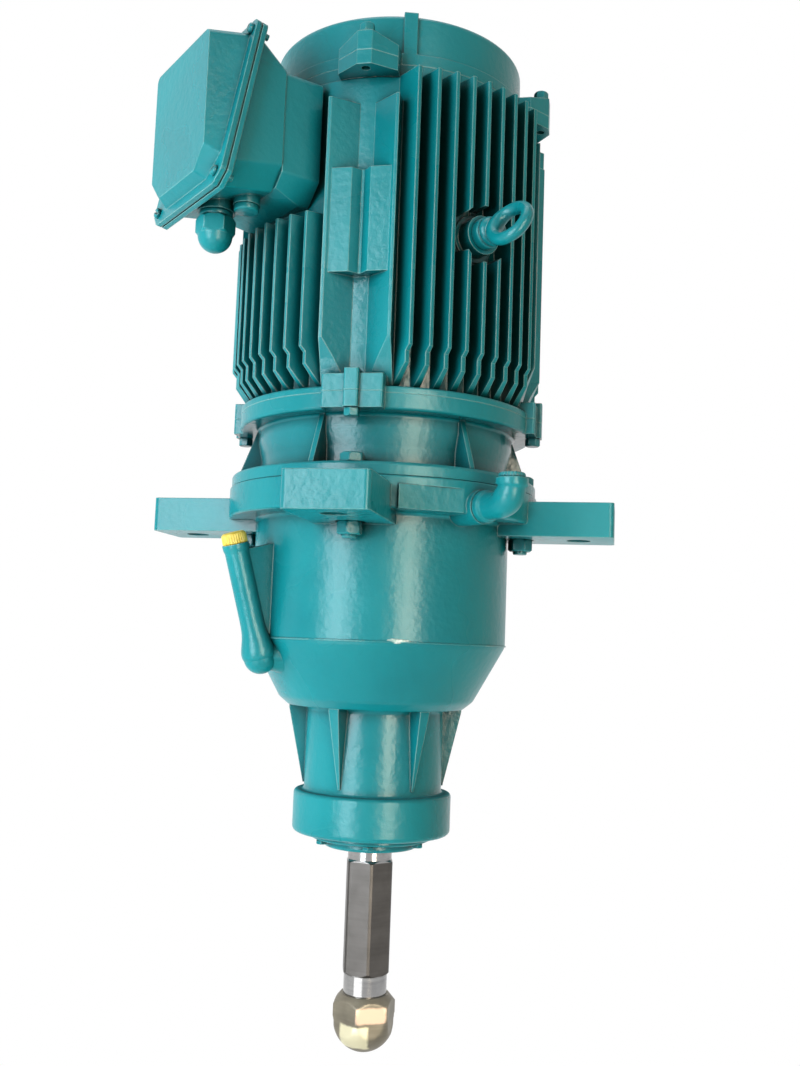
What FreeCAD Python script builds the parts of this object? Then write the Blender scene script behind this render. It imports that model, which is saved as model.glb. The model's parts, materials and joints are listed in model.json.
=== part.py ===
import FreeCAD, Part
import math
import os

# Cooling tower gear reducer with its finned motor on top.
# A planetary gear stage hangs in a cast housing and drives a shaft that points down.
# Sizes are in millimetres. Z is up. The origin is on the shaft axis, in the plane of
# the undersides of the four mounting arms. An azimuth is counted from the front, which
# is -Y, towards +X.

# Mounting arms
arm_count = 4
arm_reach = 235.0
arm_width = 78.0
arm_thickness = 34.0
arm_corner = 5.0
foot_circle_radius = 200.0
foot_hole_radius = 12.0

# Reducer housing, from its flange down
flange_rise = 8.0
flange_thickness = 30.0
flange_ledge = 28.0
flange_pad_left = 42.0
flange_pad_right = 22.0
flange_pad_depth = 1.5
flange_pad_azimuth = 32.0
nut_seat_radius = 14.0
nut_seat_depth = 1.0
barrel_wall = 11.0
gear_depth = 68.0
seat_ledge = 10.0
sump_length = 38.0
cone_height = 56.0
cone_step = 31.0
shoulder_height = 8.0
shoulder_step = 10.0
sump_floor = 20.0
neck_wall = 19.0
neck_length = 83.0
neck_rib_thickness = 11.0
neck_rib_count = 6
end_ring_ledge = 10.0
end_ring_height = 41.0

# Planetary gear stage
gear_module = 3.5
sun_teeth = 16
planet_teeth = 20
planet_count = 3
pressure_angle = 20.0
tooth_backlash = 0.2
ring_rim = 15.6
gear_face = 44.0
sun_face = 48.0
sun_hub_height = 12.0
sun_bore_radius = 14.0
planet_pin_radius = 12.0
planet_bush_wall = 4.0
thrust_washer_thickness = 1.8
carrier_radius = 87.0
carrier_top_thickness = 12.0
carrier_floor_thickness = 20.0
carrier_post_radius = 17.0
carrier_post_circle = 68.0
running_gap = 0.05
side_gap = 0.2

# Output shaft and its two tapered roller bearings
output_journal_radius = 27.5
output_bearing_radius = 50.0
output_bearing_width = 25.0
output_roller_count = 14
output_roller_radius = 5.0
output_flange_radius = 46.0
output_flange_thickness = 12.0
output_shoulder_radius = 35.0
seal_journal_radius = 25.0
seal_height = 10.0
bright_journal_radius = 22.0
bright_journal_length = 12.0
fan_seat_flats = 44.0
fan_seat_corner_radius = 24.6
fan_seat_length = 111.0
end_journal_length = 19.0
shaft_thread_radius = 18.0
shaft_thread_length = 32.0
lock_nut_height = 9.0
cover_radius = 60.0
cover_flange_thickness = 6.0
cover_boss_radius = 47.0
cover_boss_height = 8.0
cover_spigot = 13.0
cap_nut_flats = 55.0
cap_nut_hex_height = 25.5
cap_nut_cone_height = 9.0
fan_seat_azimuth = 17.0
cap_nut_azimuth = -2.0

# Drive end shield of the motor
motor_flange_thickness = 12.5
motor_flange_edge = 1.5
shield_rise = 76.5
shield_neck_radius = 126.0
shield_band_radius = 130.0
shield_rim_height = 15.5
shield_web_count = 6
shield_web_thickness = 5.5
spigot_height = 6.0
shield_wall = 9.0

# Motor frame with its fins
stator_radius = 127.0
frame_wall = 10.0
frame_height = 322.5
frame_flange_height = 6.5
collar_height = 14.0
collar_radius = 132.0
fin_height = 23.0
fin_root_thickness = 9.0
fin_tip_thickness = 3.9
fin_pitch = 17.5
fins_per_quarter = 9
fin_step = 5.0
ear_width = 58.0
ear_boss_width = 14.0
ear_circle_radius = 152.0
ear_flank = 16.0
upper_ear_height = 14.0
foot_pad_height = 16.0
foot_pad_low = 231.0
foot_pad_high = 331.0
foot_pad_half_gap = 9.0
foot_pad_groove = 7.5
channel_half_width = 34.0
channel_edge = 3.0
channel_floor = 15.0
channel_low = 169.0
eyebolt_height = 277.0
eyebolt_boss_radius = 18.5
eyebolt_clearance = 8.5
eyebolt_turn = -35.0

# Top end shield of the motor
top_shield_radius = 129.0
top_shield_height = 52.5
top_shield_edge = 6.0
top_shield_flange = 12.0
top_shield_wall = 10.0
strap_azimuth = 16.2
strap_width = 13.5
top_ear_height = 19.0
top_ear_flank_height = 11.0

# Rotor, stator and the two ball bearings of the motor
stator_bore_radius = 81.0
stator_length = 170.0
air_gap = 0.6
slot_count = 24
slot_depth = 20.0
slot_width = 9.0
winding_overhang = 30.0
core_seat_radius = 32.0
shaft_shoulder_radius = 29.0
motor_journal_radius = 22.5
ball_bearing_radius = 50.0
ball_bearing_width = 25.0
ball_radius = 8.6
ball_count = 8
race_wall = 8.5
motor_seal_radius = 32.5
motor_seal_height = 10.0
spring_ring_height = 4.0

# Terminal box, in a frame whose outward axis is at this azimuth
box_azimuth = -45.0
box_top_reach = 200.0
box_top_height = 455.5
box_bottom_reach = 231.0
box_bottom_height = 293.0
box_rim_half_width = 78.0
box_half_width = 69.0
box_rim_thickness = 5.0
box_wall = 5.0
box_corner = 7.0
box_corner_cut = 20.0
rim_corner_cut = 12.0
cut_round = 4.0
box_back_reach = 170.0
box_back_low = 309.0
box_back_high = 423.0
pedestal_inset = 1.0
pedestal_pocket = 28.0
lid_depth = 15.0
lid_face_low = 312.0
lid_face_high = 441.0
lid_face_half_width = 61.0
lid_screw_inset = 9.0
lid_low_screw_inset = 12.5
gasket_thickness = 1.5
gland_reach = 203.0
gland_radius = 14.0
gland_collar_height = 5.0
gland_cap_flats = 33.0
gland_cap_height = 17.0
plug_radius = 12.0
plug_entry_reach = 184.0
plug_entry_across = 26.0
wire_hole_radius = 20.0

# Oil fittings
elbow_azimuth = 46.8
elbow_height = 19.0
elbow_reach = 200.0
elbow_radius = 13.0
elbow_leg = 23.0
elbow_bend = 18.0
elbow_seat_reach = 162.0
filler_azimuth = -45.0
filler_radius = 11.5
filler_top_reach = 165.0
filler_top_height = -20.0
filler_foot_reach = 135.0
filler_foot_height = -120.0
filler_web_thickness = 17.0
drain_azimuth = 180.0

# Fasteners, each by thread radius and width across flats
flange_bolt_radius = 7.0
flange_bolt_flats = 21.0
flange_bolt_circle = 142.0
flange_nut_height = 13.0
flange_bolt_end = 3.0
shield_bolt_radius = 4.0
shield_bolt_flats = 13.0
cover_bolt_radius = 3.0
cover_bolt_flats = 10.0
carrier_bolt_radius = 4.0
carrier_bolt_circle = 38.0
hole_clearance = 0.3

# Radii and heights that follow from the sizes above
ring_teeth = sun_teeth + 2 * planet_teeth
sun_pitch_radius = gear_module * sun_teeth / 2
planet_pitch_radius = gear_module * planet_teeth / 2
ring_pitch_radius = gear_module * ring_teeth / 2
planet_circle = sun_pitch_radius + planet_pitch_radius
addendum = gear_module
dedendum = 1.25 * gear_module
ring_bore_radius = ring_pitch_radius - 0.9 * gear_module
bore_radius = ring_pitch_radius + dedendum + ring_rim
barrel_radius = bore_radius + barrel_wall
flange_radius = barrel_radius + flange_ledge
motor_flange_radius = flange_radius - motor_flange_edge
flange_top = arm_thickness + flange_rise
flange_bottom = flange_top - flange_thickness
flange_pad_reach = flange_radius - flange_pad_depth
flange_nut_foot = nut_seat_depth - flange_nut_height
gear_top = flange_top - gear_depth
gear_foot = gear_top - gear_face
gear_middle = gear_top - gear_face / 2
cone_top = gear_foot - sump_length
cone_foot = cone_top - cone_height
shoulder_foot = cone_foot - shoulder_height
cone_radius = barrel_radius - cone_step
shoulder_radius = cone_radius - shoulder_step
neck_radius = output_bearing_radius + neck_wall
neck_foot = shoulder_foot - neck_length
end_ring_radius = neck_radius + end_ring_ledge
housing_foot = neck_foot - end_ring_height
sump_bottom = shoulder_foot + sump_floor

upper_bearing_foot = sump_bottom - 13.0
upper_bearing_top = upper_bearing_foot + output_bearing_width
lower_bearing_foot = housing_foot + cover_spigot
lower_bearing_top = lower_bearing_foot + output_bearing_width
roller_pitch_radius = (output_journal_radius + output_bearing_radius) / 2 - 1.0

carrier_space = gear_face / 2 + side_gap + thrust_washer_thickness
carrier_floor_top = gear_middle - carrier_space
carrier_floor_foot = carrier_floor_top - carrier_floor_thickness
carrier_roof_foot = gear_middle + carrier_space
carrier_roof_top = carrier_roof_foot + carrier_top_thickness
planet_bore_radius = planet_pin_radius + planet_bush_wall + running_gap
output_flange_foot = carrier_floor_foot - output_flange_thickness

sun_foot = gear_middle - sun_face / 2
sun_top = gear_middle + sun_face / 2
sun_shoulder = sun_top + sun_hub_height

cover_foot = housing_foot - cover_flange_thickness
cover_boss_foot = cover_foot - cover_boss_height
bright_journal_foot = cover_boss_foot - bright_journal_length
fan_seat_foot = bright_journal_foot - fan_seat_length
end_journal_foot = fan_seat_foot - end_journal_length
cap_nut_foot = end_journal_foot - cap_nut_hex_height

motor_flange_top = flange_top + motor_flange_thickness
split_low = flange_top + shield_rise
split_high = split_low + frame_height
rim_foot = split_low - shield_rim_height
frame_radius = stator_radius + frame_wall
fin_radius = frame_radius + fin_height
fin_top = split_high - collar_height
fin_foot = split_low + frame_flange_height
frame_middle = (split_low + fin_top) / 2
rim_radius = ear_circle_radius - 2.0
ear_reach = fin_radius
spigot_inner = stator_radius - shield_wall
top_shield_top = split_high + top_shield_height

ball_pitch_radius = (motor_journal_radius + ball_bearing_radius) / 2
lower_ball_foot = motor_flange_top + 7.5
lower_ball_top = lower_ball_foot + ball_bearing_width
upper_ball_foot = split_high - 3.0
upper_ball_top = upper_ball_foot + ball_bearing_width
motor_shaft_top = upper_ball_top + 2.0
motor_seal_foot = flange_top - 2.0
hub_radius = ball_bearing_radius + shield_wall
channel_top = split_high - 41.0
pedestal_half_width = box_half_width - pedestal_inset
lid_face_reach = box_bottom_reach + lid_depth


def vector(x, y, z):
    return FreeCAD.Vector(x, y, z)


up = vector(0, 0, 1)
axis_point = vector(0, 0, 0)


# Basic shapes

def closed_wire(corners, place):
    # Each corner is (a, b) or (a, b, radius); place turns (a, b) into a point in space.
    count = len(corners)
    edges = []
    arcs = []
    for index in range(count):
        here = corners[index]
        before = corners[index - 1]
        after = corners[(index + 1) % count]
        to_before = (before[0] - here[0], before[1] - here[1])
        to_after = (after[0] - here[0], after[1] - here[1])
        run_before = math.hypot(*to_before)
        run_after = math.hypot(*to_after)
        radius = here[2] if len(here) > 2 else 0.0
        if radius == 0.0:
            arcs.append((here[:2], None, here[:2]))
            continue
        unit_before = (to_before[0] / run_before, to_before[1] / run_before)
        unit_after = (to_after[0] / run_after, to_after[1] / run_after)
        cosine = unit_before[0] * unit_after[0] + unit_before[1] * unit_after[1]
        half = math.acos(max(-1.0, min(1.0, cosine))) / 2
        setback = min(radius / math.tan(half), 0.45 * run_before, 0.45 * run_after)
        radius = setback * math.tan(half)
        start = (here[0] + unit_before[0] * setback, here[1] + unit_before[1] * setback)
        stop = (here[0] + unit_after[0] * setback, here[1] + unit_after[1] * setback)
        middle_run = radius / math.sin(half) - radius
        bisector = (unit_before[0] + unit_after[0], unit_before[1] + unit_after[1])
        length = math.hypot(*bisector)
        middle = (here[0] + bisector[0] / length * middle_run, here[1] + bisector[1] / length * middle_run)
        arcs.append((start, middle, stop))
    for index in range(count):
        start, middle, stop = arcs[index]
        if middle is not None:
            edges.append(Part.Arc(place(*start), place(*middle), place(*stop)).toShape())
        next_start = arcs[(index + 1) % count][0]
        if math.hypot(next_start[0] - stop[0], next_start[1] - stop[1]) > 1e-6:
            edges.append(Part.LineSegment(place(*stop), place(*next_start)).toShape())
    return Part.Wire(edges)


def revolved(corners):
    # Corners are (radius, height), turned once round the shaft axis.
    wire = closed_wire(corners, lambda r, z: vector(r, 0, z))
    return Part.Face(wire).revolve(axis_point, up, 360)


def tube(outer, inner, low, high):
    return revolved([(inner, low), (outer, low), (outer, high), (inner, high)])


def disc(radius, low, high, x=0.0, y=0.0):
    return Part.makeCylinder(radius, high - low, vector(x, y, low), up)


def upright(corners, low, high):
    # Corners are (across, outward) at the front, drawn out from low to high.
    wire = closed_wire(corners, lambda u, s: vector(u, -s, low))
    return Part.Face(wire).extrude(vector(0, 0, high - low))


def plate(corners, low, high):
    # Corners are (outward, height) at the front, drawn out across from low to high.
    wire = closed_wire(corners, lambda s, z: vector(low, -s, z))
    return Part.Face(wire).extrude(vector(high - low, 0, 0))


def block(across_low, across_high, reach_low, reach_high, low, high):
    return Part.makeBox(
        across_high - across_low, reach_high - reach_low, high - low,
        vector(across_low, -reach_high, low),
    )


def spoke(radius, reach_low, reach_high, height, across=0.0):
    # A round bar that points outward at the front.
    return Part.makeCylinder(
        radius, reach_high - reach_low, vector(across, -reach_low, height), vector(0, -1, 0)
    )


def turned(shape, azimuth):
    copy = shape.copy()
    copy.rotate(axis_point, up, azimuth)
    return copy


def moved(shape, x, y, z):
    copy = shape.copy()
    copy.translate(vector(x, y, z))
    return copy


def ring_of(shape, count, first=0.0):
    return [turned(shape, first + 360.0 * index / count) for index in range(count)]


def hexagon(flats, low, high, x=0.0, y=0.0, azimuth=0.0):
    corner = flats / math.sqrt(3)
    points = []
    for index in range(6):
        angle = math.radians(azimuth + 60 * index)
        points.append(vector(x + corner * math.sin(angle), y - corner * math.cos(angle), low))
    wire = Part.makePolygon(points + [points[0]])
    return Part.Face(wire).extrude(vector(0, 0, high - low))


def hex_bolt(radius, flats, head_height, reach, length, seat):
    # Head above the seat height, shank below it, at the front.
    head = hexagon(flats, seat, seat + head_height, 0, -reach)
    return head.fuse(disc(radius, seat - length, seat, 0, -reach)).removeSplitter()


def group(shapes):
    return Part.makeCompound(shapes)


# Gear teeth

def involute_angle(radius, base_radius):
    if radius <= base_radius:
        return 0.0
    alpha = math.acos(base_radius / radius)
    return math.tan(alpha) - alpha


def tooth_outline(teeth, tip_radius, root_radius, thinning, turn):
    # Corner points of a spur gear's outline; a flank is an involute drawn in short chords.
    pitch_radius = gear_module * teeth / 2
    base_radius = pitch_radius * math.cos(math.radians(pressure_angle))
    half_tooth = math.pi / (2 * teeth) - thinning / (2 * pitch_radius)
    half_at_base = half_tooth + involute_angle(pitch_radius, base_radius)
    flank_start = max(base_radius, root_radius)
    flank_chords = 3
    flank = []
    for index in range(flank_chords + 1):
        radius = flank_start + (tip_radius - flank_start) * index / flank_chords
        flank.append((radius, half_at_base - involute_angle(radius, base_radius)))
    if root_radius < flank_start:
        flank.insert(0, (root_radius, half_at_base))
    points = []
    for tooth in range(teeth):
        centre = 2 * math.pi * tooth / teeth + math.radians(turn)
        for radius, half in flank:
            points.append((radius, centre - half))
        for radius, half in reversed(flank):
            points.append((radius, centre + half))
    return points


def toothed(teeth, tip_radius, root_radius, thinning, turn, low, high):
    points = []
    for radius, angle in tooth_outline(teeth, tip_radius, root_radius, thinning, turn):
        points.append(vector(radius * math.cos(angle), radius * math.sin(angle), low))
    wire = Part.makePolygon(points + [points[0]])
    return Part.Face(wire).extrude(vector(0, 0, high - low))


# Reducer housing

def gear_housing():
    outside = revolved([
        (0, flange_top),
        (flange_radius, flange_top, 1.5),
        (flange_radius, flange_bottom, 3),
        (barrel_radius, flange_bottom, 4),
        (barrel_radius, cone_top, 14),
        (cone_radius, cone_foot, 12),
        (shoulder_radius, shoulder_foot, 3),
        (neck_radius, shoulder_foot, 5),
        (neck_radius, neck_foot, 3),
        (end_ring_radius, neck_foot, 4),
        (end_ring_radius, housing_foot, 5),
        (0, housing_foot),
    ])
    added = mounting_arms() + neck_ribs() + [flange_pad(), elbow_boss(), filler_neck(), drain_boss()]
    solid = outside.cut(flange_flat()).fuse(added).cut(housing_inside())
    holes = []
    for azimuth in range(0, 360, 360 // arm_count):
        bolt_hole = disc(flange_bolt_radius + hole_clearance, -1, flange_top + 1, 0, -flange_bolt_circle)
        holes.append(turned(bolt_hole.fuse(nut_seat()), azimuth))
        holes.append(turned(disc(foot_hole_radius, -1, arm_thickness + 1, 0, -foot_circle_radius), azimuth))
    holes += [elbow_hole(), filler_hole(), drain_hole()] + dowel_cuts() + cover_bolt_cuts()
    return solid.cut(holes).removeSplitter()


def housing_inside():
    boss_radius = output_bearing_radius + 10.0
    sump_radius = cone_radius - 4.0
    return revolved([
        (0, flange_top + 1),
        (bore_radius, flange_top + 1),
        (bore_radius, gear_foot),
        (bore_radius - seat_ledge, gear_foot),
        (bore_radius - seat_ledge, gear_foot - 8),
        (bore_radius, gear_foot - 16),
        (bore_radius, cone_top, 8),
        (sump_radius, sump_bottom + 4, 4),
        (sump_radius - 4, sump_bottom),
        (boss_radius, sump_bottom),
        (boss_radius, upper_bearing_top + 2),
        (output_bearing_radius, upper_bearing_top + 2),
        (output_bearing_radius, upper_bearing_foot),
        (output_bearing_radius - 7, upper_bearing_foot),
        (output_bearing_radius - 7, lower_bearing_top),
        (output_bearing_radius, lower_bearing_top),
        (output_bearing_radius, housing_foot - 1),
        (0, housing_foot - 1),
    ])


def mounting_arms():
    half = arm_width / 2
    root = math.sqrt(barrel_radius ** 2 - half ** 2) - 2.0
    arm = upright(
        [(-half, root), (half, root), (half, arm_reach, arm_corner), (-half, arm_reach, arm_corner)],
        0, arm_thickness,
    )
    return ring_of(arm, arm_count)


def neck_ribs():
    # A rib is as deep and as wide as the shoulder allows, and runs out to a point below.
    root = neck_radius - 3.0
    side = plate(
        [(root, shoulder_foot + 1), (shoulder_radius - 1, shoulder_foot + 1),
         (shoulder_radius - 1, shoulder_foot - 3), (neck_radius + 1.5, neck_foot + 6), (root, neck_foot + 6)],
        -neck_rib_thickness / 2, neck_rib_thickness / 2,
    )
    half = neck_rib_thickness / 2
    wire = closed_wire(
        [(-half, shoulder_foot + 1), (half, shoulder_foot + 1), (1.2, neck_foot + 6), (-1.2, neck_foot + 6)],
        lambda u, z: vector(u, -shoulder_radius, z),
    )
    front = Part.Face(wire).extrude(vector(0, shoulder_radius - root + 5, 0))
    return ring_of(side.common(front), neck_rib_count, 45.0)


def nut_seat():
    # A shallow spot face in the arm's underside, up to the barrel.
    seat = disc(nut_seat_radius, -1, nut_seat_depth, 0, -flange_bolt_circle)
    return seat.cut(disc(barrel_radius, -2, nut_seat_depth + 1))


def flange_pad():
    pad = block(
        -flange_pad_left, flange_pad_right, barrel_radius - 2, flange_pad_reach, flange_bottom, arm_thickness
    )
    return turned(pad, flange_pad_azimuth)


def flange_flat():
    # What the flange's rim loses so that the pad's face is flat where the rim would stand proud.
    flat = block(
        -flange_pad_left, flange_pad_right, flange_pad_reach, flange_radius + 1, flange_bottom - 1, arm_thickness
    )
    return turned(flat, flange_pad_azimuth)


def elbow_boss():
    boss = spoke(elbow_radius + 3, bore_radius + 3, elbow_seat_reach, elbow_height)
    return turned(boss, elbow_azimuth)


def elbow_hole():
    hole = spoke(elbow_radius - 4, bore_radius - 3, elbow_seat_reach + 1, elbow_height)
    return turned(hole, elbow_azimuth)


def filler_line(grow, start=0.0, stop=1.0):
    # The inclined bar between the foot and the top of the filler neck.
    run = filler_top_reach - filler_foot_reach
    rise = filler_top_height - filler_foot_height
    low = vector(0, -filler_foot_reach - run * start, filler_foot_height + rise * start)
    high = vector(0, -filler_foot_reach - run * stop, filler_foot_height + rise * stop)
    return Part.makeCylinder(filler_radius + grow, (high - low).Length, low, high - low)


def filler_neck():
    pipe = filler_line(0)
    foot = Part.makeSphere(filler_radius + 4.5, vector(0, -filler_foot_reach + 2, filler_foot_height - 6))
    half = filler_web_thickness / 2
    web = plate(
        [(barrel_radius - 3, filler_top_height + 4), (filler_top_reach - 3, filler_top_height - 6),
         (filler_foot_reach, filler_foot_height + 5), (barrel_radius - 3, cone_top + 2)],
        -half, half,
    )
    return turned(pipe.fuse([foot, web]), filler_azimuth)


def filler_hole():
    bore = filler_line(-4.5, 0.0, 1.1)
    turn = Part.makeSphere(filler_radius - 4.5, vector(0, -filler_foot_reach, filler_foot_height))
    inward = Part.makeCylinder(
        filler_radius - 4.5, filler_foot_reach - cone_radius,
        vector(0, -filler_foot_reach, filler_foot_height), vector(0, 1, 0),
    )
    return turned(bore.fuse([turn, inward]), filler_azimuth)


def drain_place():
    height = sump_bottom + 14.0
    surface = barrel_radius - cone_step * (cone_top - height) / cone_height
    return height, surface


def drain_boss():
    height, surface = drain_place()
    return turned(spoke(15, surface - 14, surface + 12, height), drain_azimuth)


def drain_hole():
    height, surface = drain_place()
    return turned(spoke(8 + hole_clearance, surface - 30, surface + 13, height), drain_azimuth)


def drain_plug():
    height, surface = drain_place()
    head = hexagon(22, 0, 9)
    head.rotate(axis_point, vector(1, 0, 0), 90)
    head.translate(vector(0, -(surface + 12), height))
    shank = spoke(8 + hole_clearance, surface - 8, surface + 12, height)
    return turned(head.fuse(shank), drain_azimuth)


# Ring gear and what holds it

def dowels():
    height = 30.0
    dowel = disc(4, gear_top - height, gear_top, 0, -bore_radius)
    return ring_of(dowel, 3, 60.0)


def dowel_cuts():
    cut = disc(4, gear_top - 30.0, gear_top + 8.0, 0, -bore_radius)
    groove = tube(bore_radius + 2.5, bore_radius - 1, gear_top, gear_top + 3.0)
    return ring_of(cut, 3, 60.0) + [groove]


def ring_gear():
    blank = disc(bore_radius, gear_foot, gear_top)
    root = ring_pitch_radius + dedendum
    teeth = toothed(ring_teeth, root, ring_bore_radius, -tooth_backlash / 2, 0, gear_foot - 1, gear_top + 1)
    return blank.cut([teeth] + dowels())


def retaining_ring():
    ring = tube(bore_radius + 2.5, bore_radius - 7, gear_top, gear_top + 3.0)
    gap = block(-9, 9, bore_radius - 12, bore_radius + 6, gear_top - 1, gear_top + 4)
    return ring.cut(gap)


# Sun, planets and carrier

def sun_gear():
    teeth = toothed(
        sun_teeth, sun_pitch_radius + addendum, sun_pitch_radius - dedendum, tooth_backlash / 2,
        180.0 / sun_teeth, sun_foot, sun_top,
    )
    hub = disc(sun_pitch_radius - dedendum - 1, sun_top, sun_shoulder)
    bore = disc(sun_bore_radius, sun_foot - 1, sun_shoulder + 1)
    return teeth.fuse(hub).cut([bore, key_slot(0.3)])


def key_slot(gap):
    return block(-4, 4, 0, sun_bore_radius + 3.0 + gap, sun_foot + 6, sun_top - 6)


def sun_key():
    return block(-4, 4, sun_bore_radius - 4.0, sun_bore_radius + 3.0, sun_foot + 6, sun_top - 6)


def sun_washer():
    return tube(sun_pitch_radius - dedendum - 3, 4 + hole_clearance, sun_foot - 4, sun_foot)


def sun_screw():
    head = disc(6.5, sun_foot - 12, sun_foot - 4).cut(hexagon(6, sun_foot - 13, sun_foot - 8))
    return head.fuse(disc(4, sun_foot - 4, sun_foot + 16))


def planet_gear(index):
    angle = 2 * math.pi * index / planet_count
    teeth = toothed(
        planet_teeth, planet_pitch_radius + addendum, planet_pitch_radius - dedendum,
        tooth_backlash / 2, 0, gear_foot, gear_top,
    )
    gear = teeth.cut(disc(planet_bore_radius, gear_foot - 1, gear_top + 1))
    return moved(gear, planet_circle * math.cos(angle), planet_circle * math.sin(angle), 0)


def on_planets(shape):
    # Copies of a shape drawn on the shaft axis, one at each planet.
    copies = []
    for index in range(planet_count):
        angle = 2 * math.pi * index / planet_count
        copies.append(moved(shape, planet_circle * math.cos(angle), planet_circle * math.sin(angle), 0))
    return copies


def planet_pins():
    return on_planets(disc(planet_pin_radius, carrier_floor_foot, carrier_roof_top))


def planet_bushes():
    bush = tube(planet_pin_radius + planet_bush_wall, planet_pin_radius, gear_foot - side_gap, gear_top + side_gap)
    return on_planets(bush)


def thrust_washers():
    outer = planet_pin_radius + 12.0
    high = tube(outer, planet_pin_radius, gear_top + side_gap, carrier_roof_foot)
    low = tube(outer, planet_pin_radius, carrier_floor_top, gear_foot - side_gap)
    return on_planets(high) + on_planets(low)


def planet_carrier():
    floor = disc(carrier_radius, carrier_floor_foot, carrier_floor_top)
    roof = disc(carrier_radius, carrier_roof_foot, carrier_roof_top)
    posts = []
    for index in range(planet_count):
        angle = 2 * math.pi * (index + 0.5) / planet_count
        x = carrier_post_circle * math.cos(angle)
        y = carrier_post_circle * math.sin(angle)
        posts.append(disc(carrier_post_radius, carrier_floor_foot, carrier_roof_top, x, y))
    solid = floor.fuse([roof] + posts)
    cuts = on_planets(disc(planet_pin_radius, carrier_floor_foot - 1, carrier_roof_top + 1))
    cuts.append(disc(sun_pitch_radius + addendum + 8, carrier_roof_foot - 1, carrier_roof_top + 1))
    cuts.append(disc(carrier_bolt_circle - 12, carrier_floor_foot - 1, carrier_floor_top + 1))
    circle = carrier_bolt_circle
    bolt_hole = disc(carrier_bolt_radius, carrier_floor_foot - 1, carrier_floor_top + 1, 0, -circle)
    head_room = disc(carrier_bolt_radius + 2.8, carrier_floor_top - 9, carrier_floor_top + 1, 0, -circle)
    cuts += ring_of(bolt_hole.fuse(head_room), 6, 30.0)
    return solid.cut(cuts).removeSplitter()


def carrier_bolts():
    seat = carrier_floor_top - 9
    head = disc(carrier_bolt_radius + 2.5, seat, seat + 8, 0, -carrier_bolt_circle)
    socket = hexagon(6, seat + 4, seat + 9, 0, -carrier_bolt_circle)
    shank = disc(carrier_bolt_radius, output_flange_foot, seat, 0, -carrier_bolt_circle)
    return ring_of(head.cut(socket).fuse(shank), 6, 30.0)


# Output shaft and its bearings

def output_shaft():
    steps = revolved([
        (0, carrier_floor_foot),
        (output_flange_radius, carrier_floor_foot),
        (output_flange_radius, output_flange_foot),
        (output_shoulder_radius, output_flange_foot, 3),
        (output_shoulder_radius, upper_bearing_top),
        (output_journal_radius, upper_bearing_top),
        (output_journal_radius, lower_bearing_foot),
        (output_journal_radius - 1, lower_bearing_foot),
        (output_journal_radius - 1, lower_bearing_foot - lock_nut_height),
        (seal_journal_radius, lower_bearing_foot - lock_nut_height),
        (seal_journal_radius, cover_boss_foot - 2),
        (bright_journal_radius, cover_boss_foot - 4),
        (bright_journal_radius, bright_journal_foot),
        (0, bright_journal_foot),
    ])
    seat = hexagon(fan_seat_flats, fan_seat_foot, bright_journal_foot, 0, 0, fan_seat_azimuth)
    seat = seat.common(revolved([
        (0, bright_journal_foot),
        (bright_journal_radius, bright_journal_foot),
        (fan_seat_corner_radius, bright_journal_foot - 3),
        (fan_seat_corner_radius, fan_seat_foot + 3),
        (bright_journal_radius, fan_seat_foot),
        (0, fan_seat_foot),
    ]))
    end = revolved([
        (0, fan_seat_foot),
        (bright_journal_radius - 0.5, fan_seat_foot),
        (bright_journal_radius - 0.5, end_journal_foot),
        (shaft_thread_radius, end_journal_foot),
        (shaft_thread_radius, end_journal_foot - shaft_thread_length + 2),
        (shaft_thread_radius - 2, end_journal_foot - shaft_thread_length),
        (0, end_journal_foot - shaft_thread_length),
    ])
    hole = disc(carrier_bolt_radius, output_flange_foot - 1, carrier_floor_foot + 1, 0, -carrier_bolt_circle)
    return steps.fuse([seat, end]).cut(ring_of(hole, 6, 30.0))


def roller_cone_angles():
    # Half angles of the inner race, the roller axis and the outer race, from one apex.
    axis_angle = math.radians(14.0)
    apex_run = roller_pitch_radius / math.tan(axis_angle)
    slant = roller_pitch_radius / math.sin(axis_angle)
    roller_angle = math.asin(output_roller_radius / slant)
    return apex_run, slant, axis_angle, roller_angle


def tapered_bearing(part, middle, side):
    # side is +1 where the cones open upward and -1 where they open downward.
    apex_run, slant, axis_angle, roller_angle = roller_cone_angles()
    half = output_bearing_width / 2
    inner_angle = math.tan(axis_angle - roller_angle)
    outer_angle = math.tan(axis_angle + roller_angle)
    apex = middle - side * apex_run

    def race(tangent, height):
        return abs(height - apex) * tangent

    if part == "inner":
        return revolved([
            (output_journal_radius, middle - half), (race(inner_angle, middle - half), middle - half),
            (race(inner_angle, middle + half), middle + half), (output_journal_radius, middle + half),
        ])
    if part == "outer":
        return revolved([
            (output_bearing_radius, middle - half), (output_bearing_radius, middle + half),
            (race(outer_angle, middle + half), middle + half), (race(outer_angle, middle - half), middle - half),
        ])
    roller_half = 8.0
    direction = vector(0, -math.sin(axis_angle), side * math.cos(axis_angle))
    start = vector(0, 0, apex) + direction * (slant - roller_half)
    small = (slant - roller_half) * math.tan(roller_angle) - running_gap
    large = (slant + roller_half) * math.tan(roller_angle) - running_gap
    roller = Part.makeCone(small, large, 2 * roller_half, start, direction)
    return ring_of(roller, output_roller_count)


def on_output_bearings(part):
    upper = tapered_bearing(part, upper_bearing_foot + output_bearing_width / 2, 1)
    lower = tapered_bearing(part, lower_bearing_foot + output_bearing_width / 2, -1)
    if part == "rollers":
        return upper + lower
    return [upper, lower]


def bearing_spacer():
    return tube(output_journal_radius + 4, output_journal_radius, lower_bearing_top, upper_bearing_foot)


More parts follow.
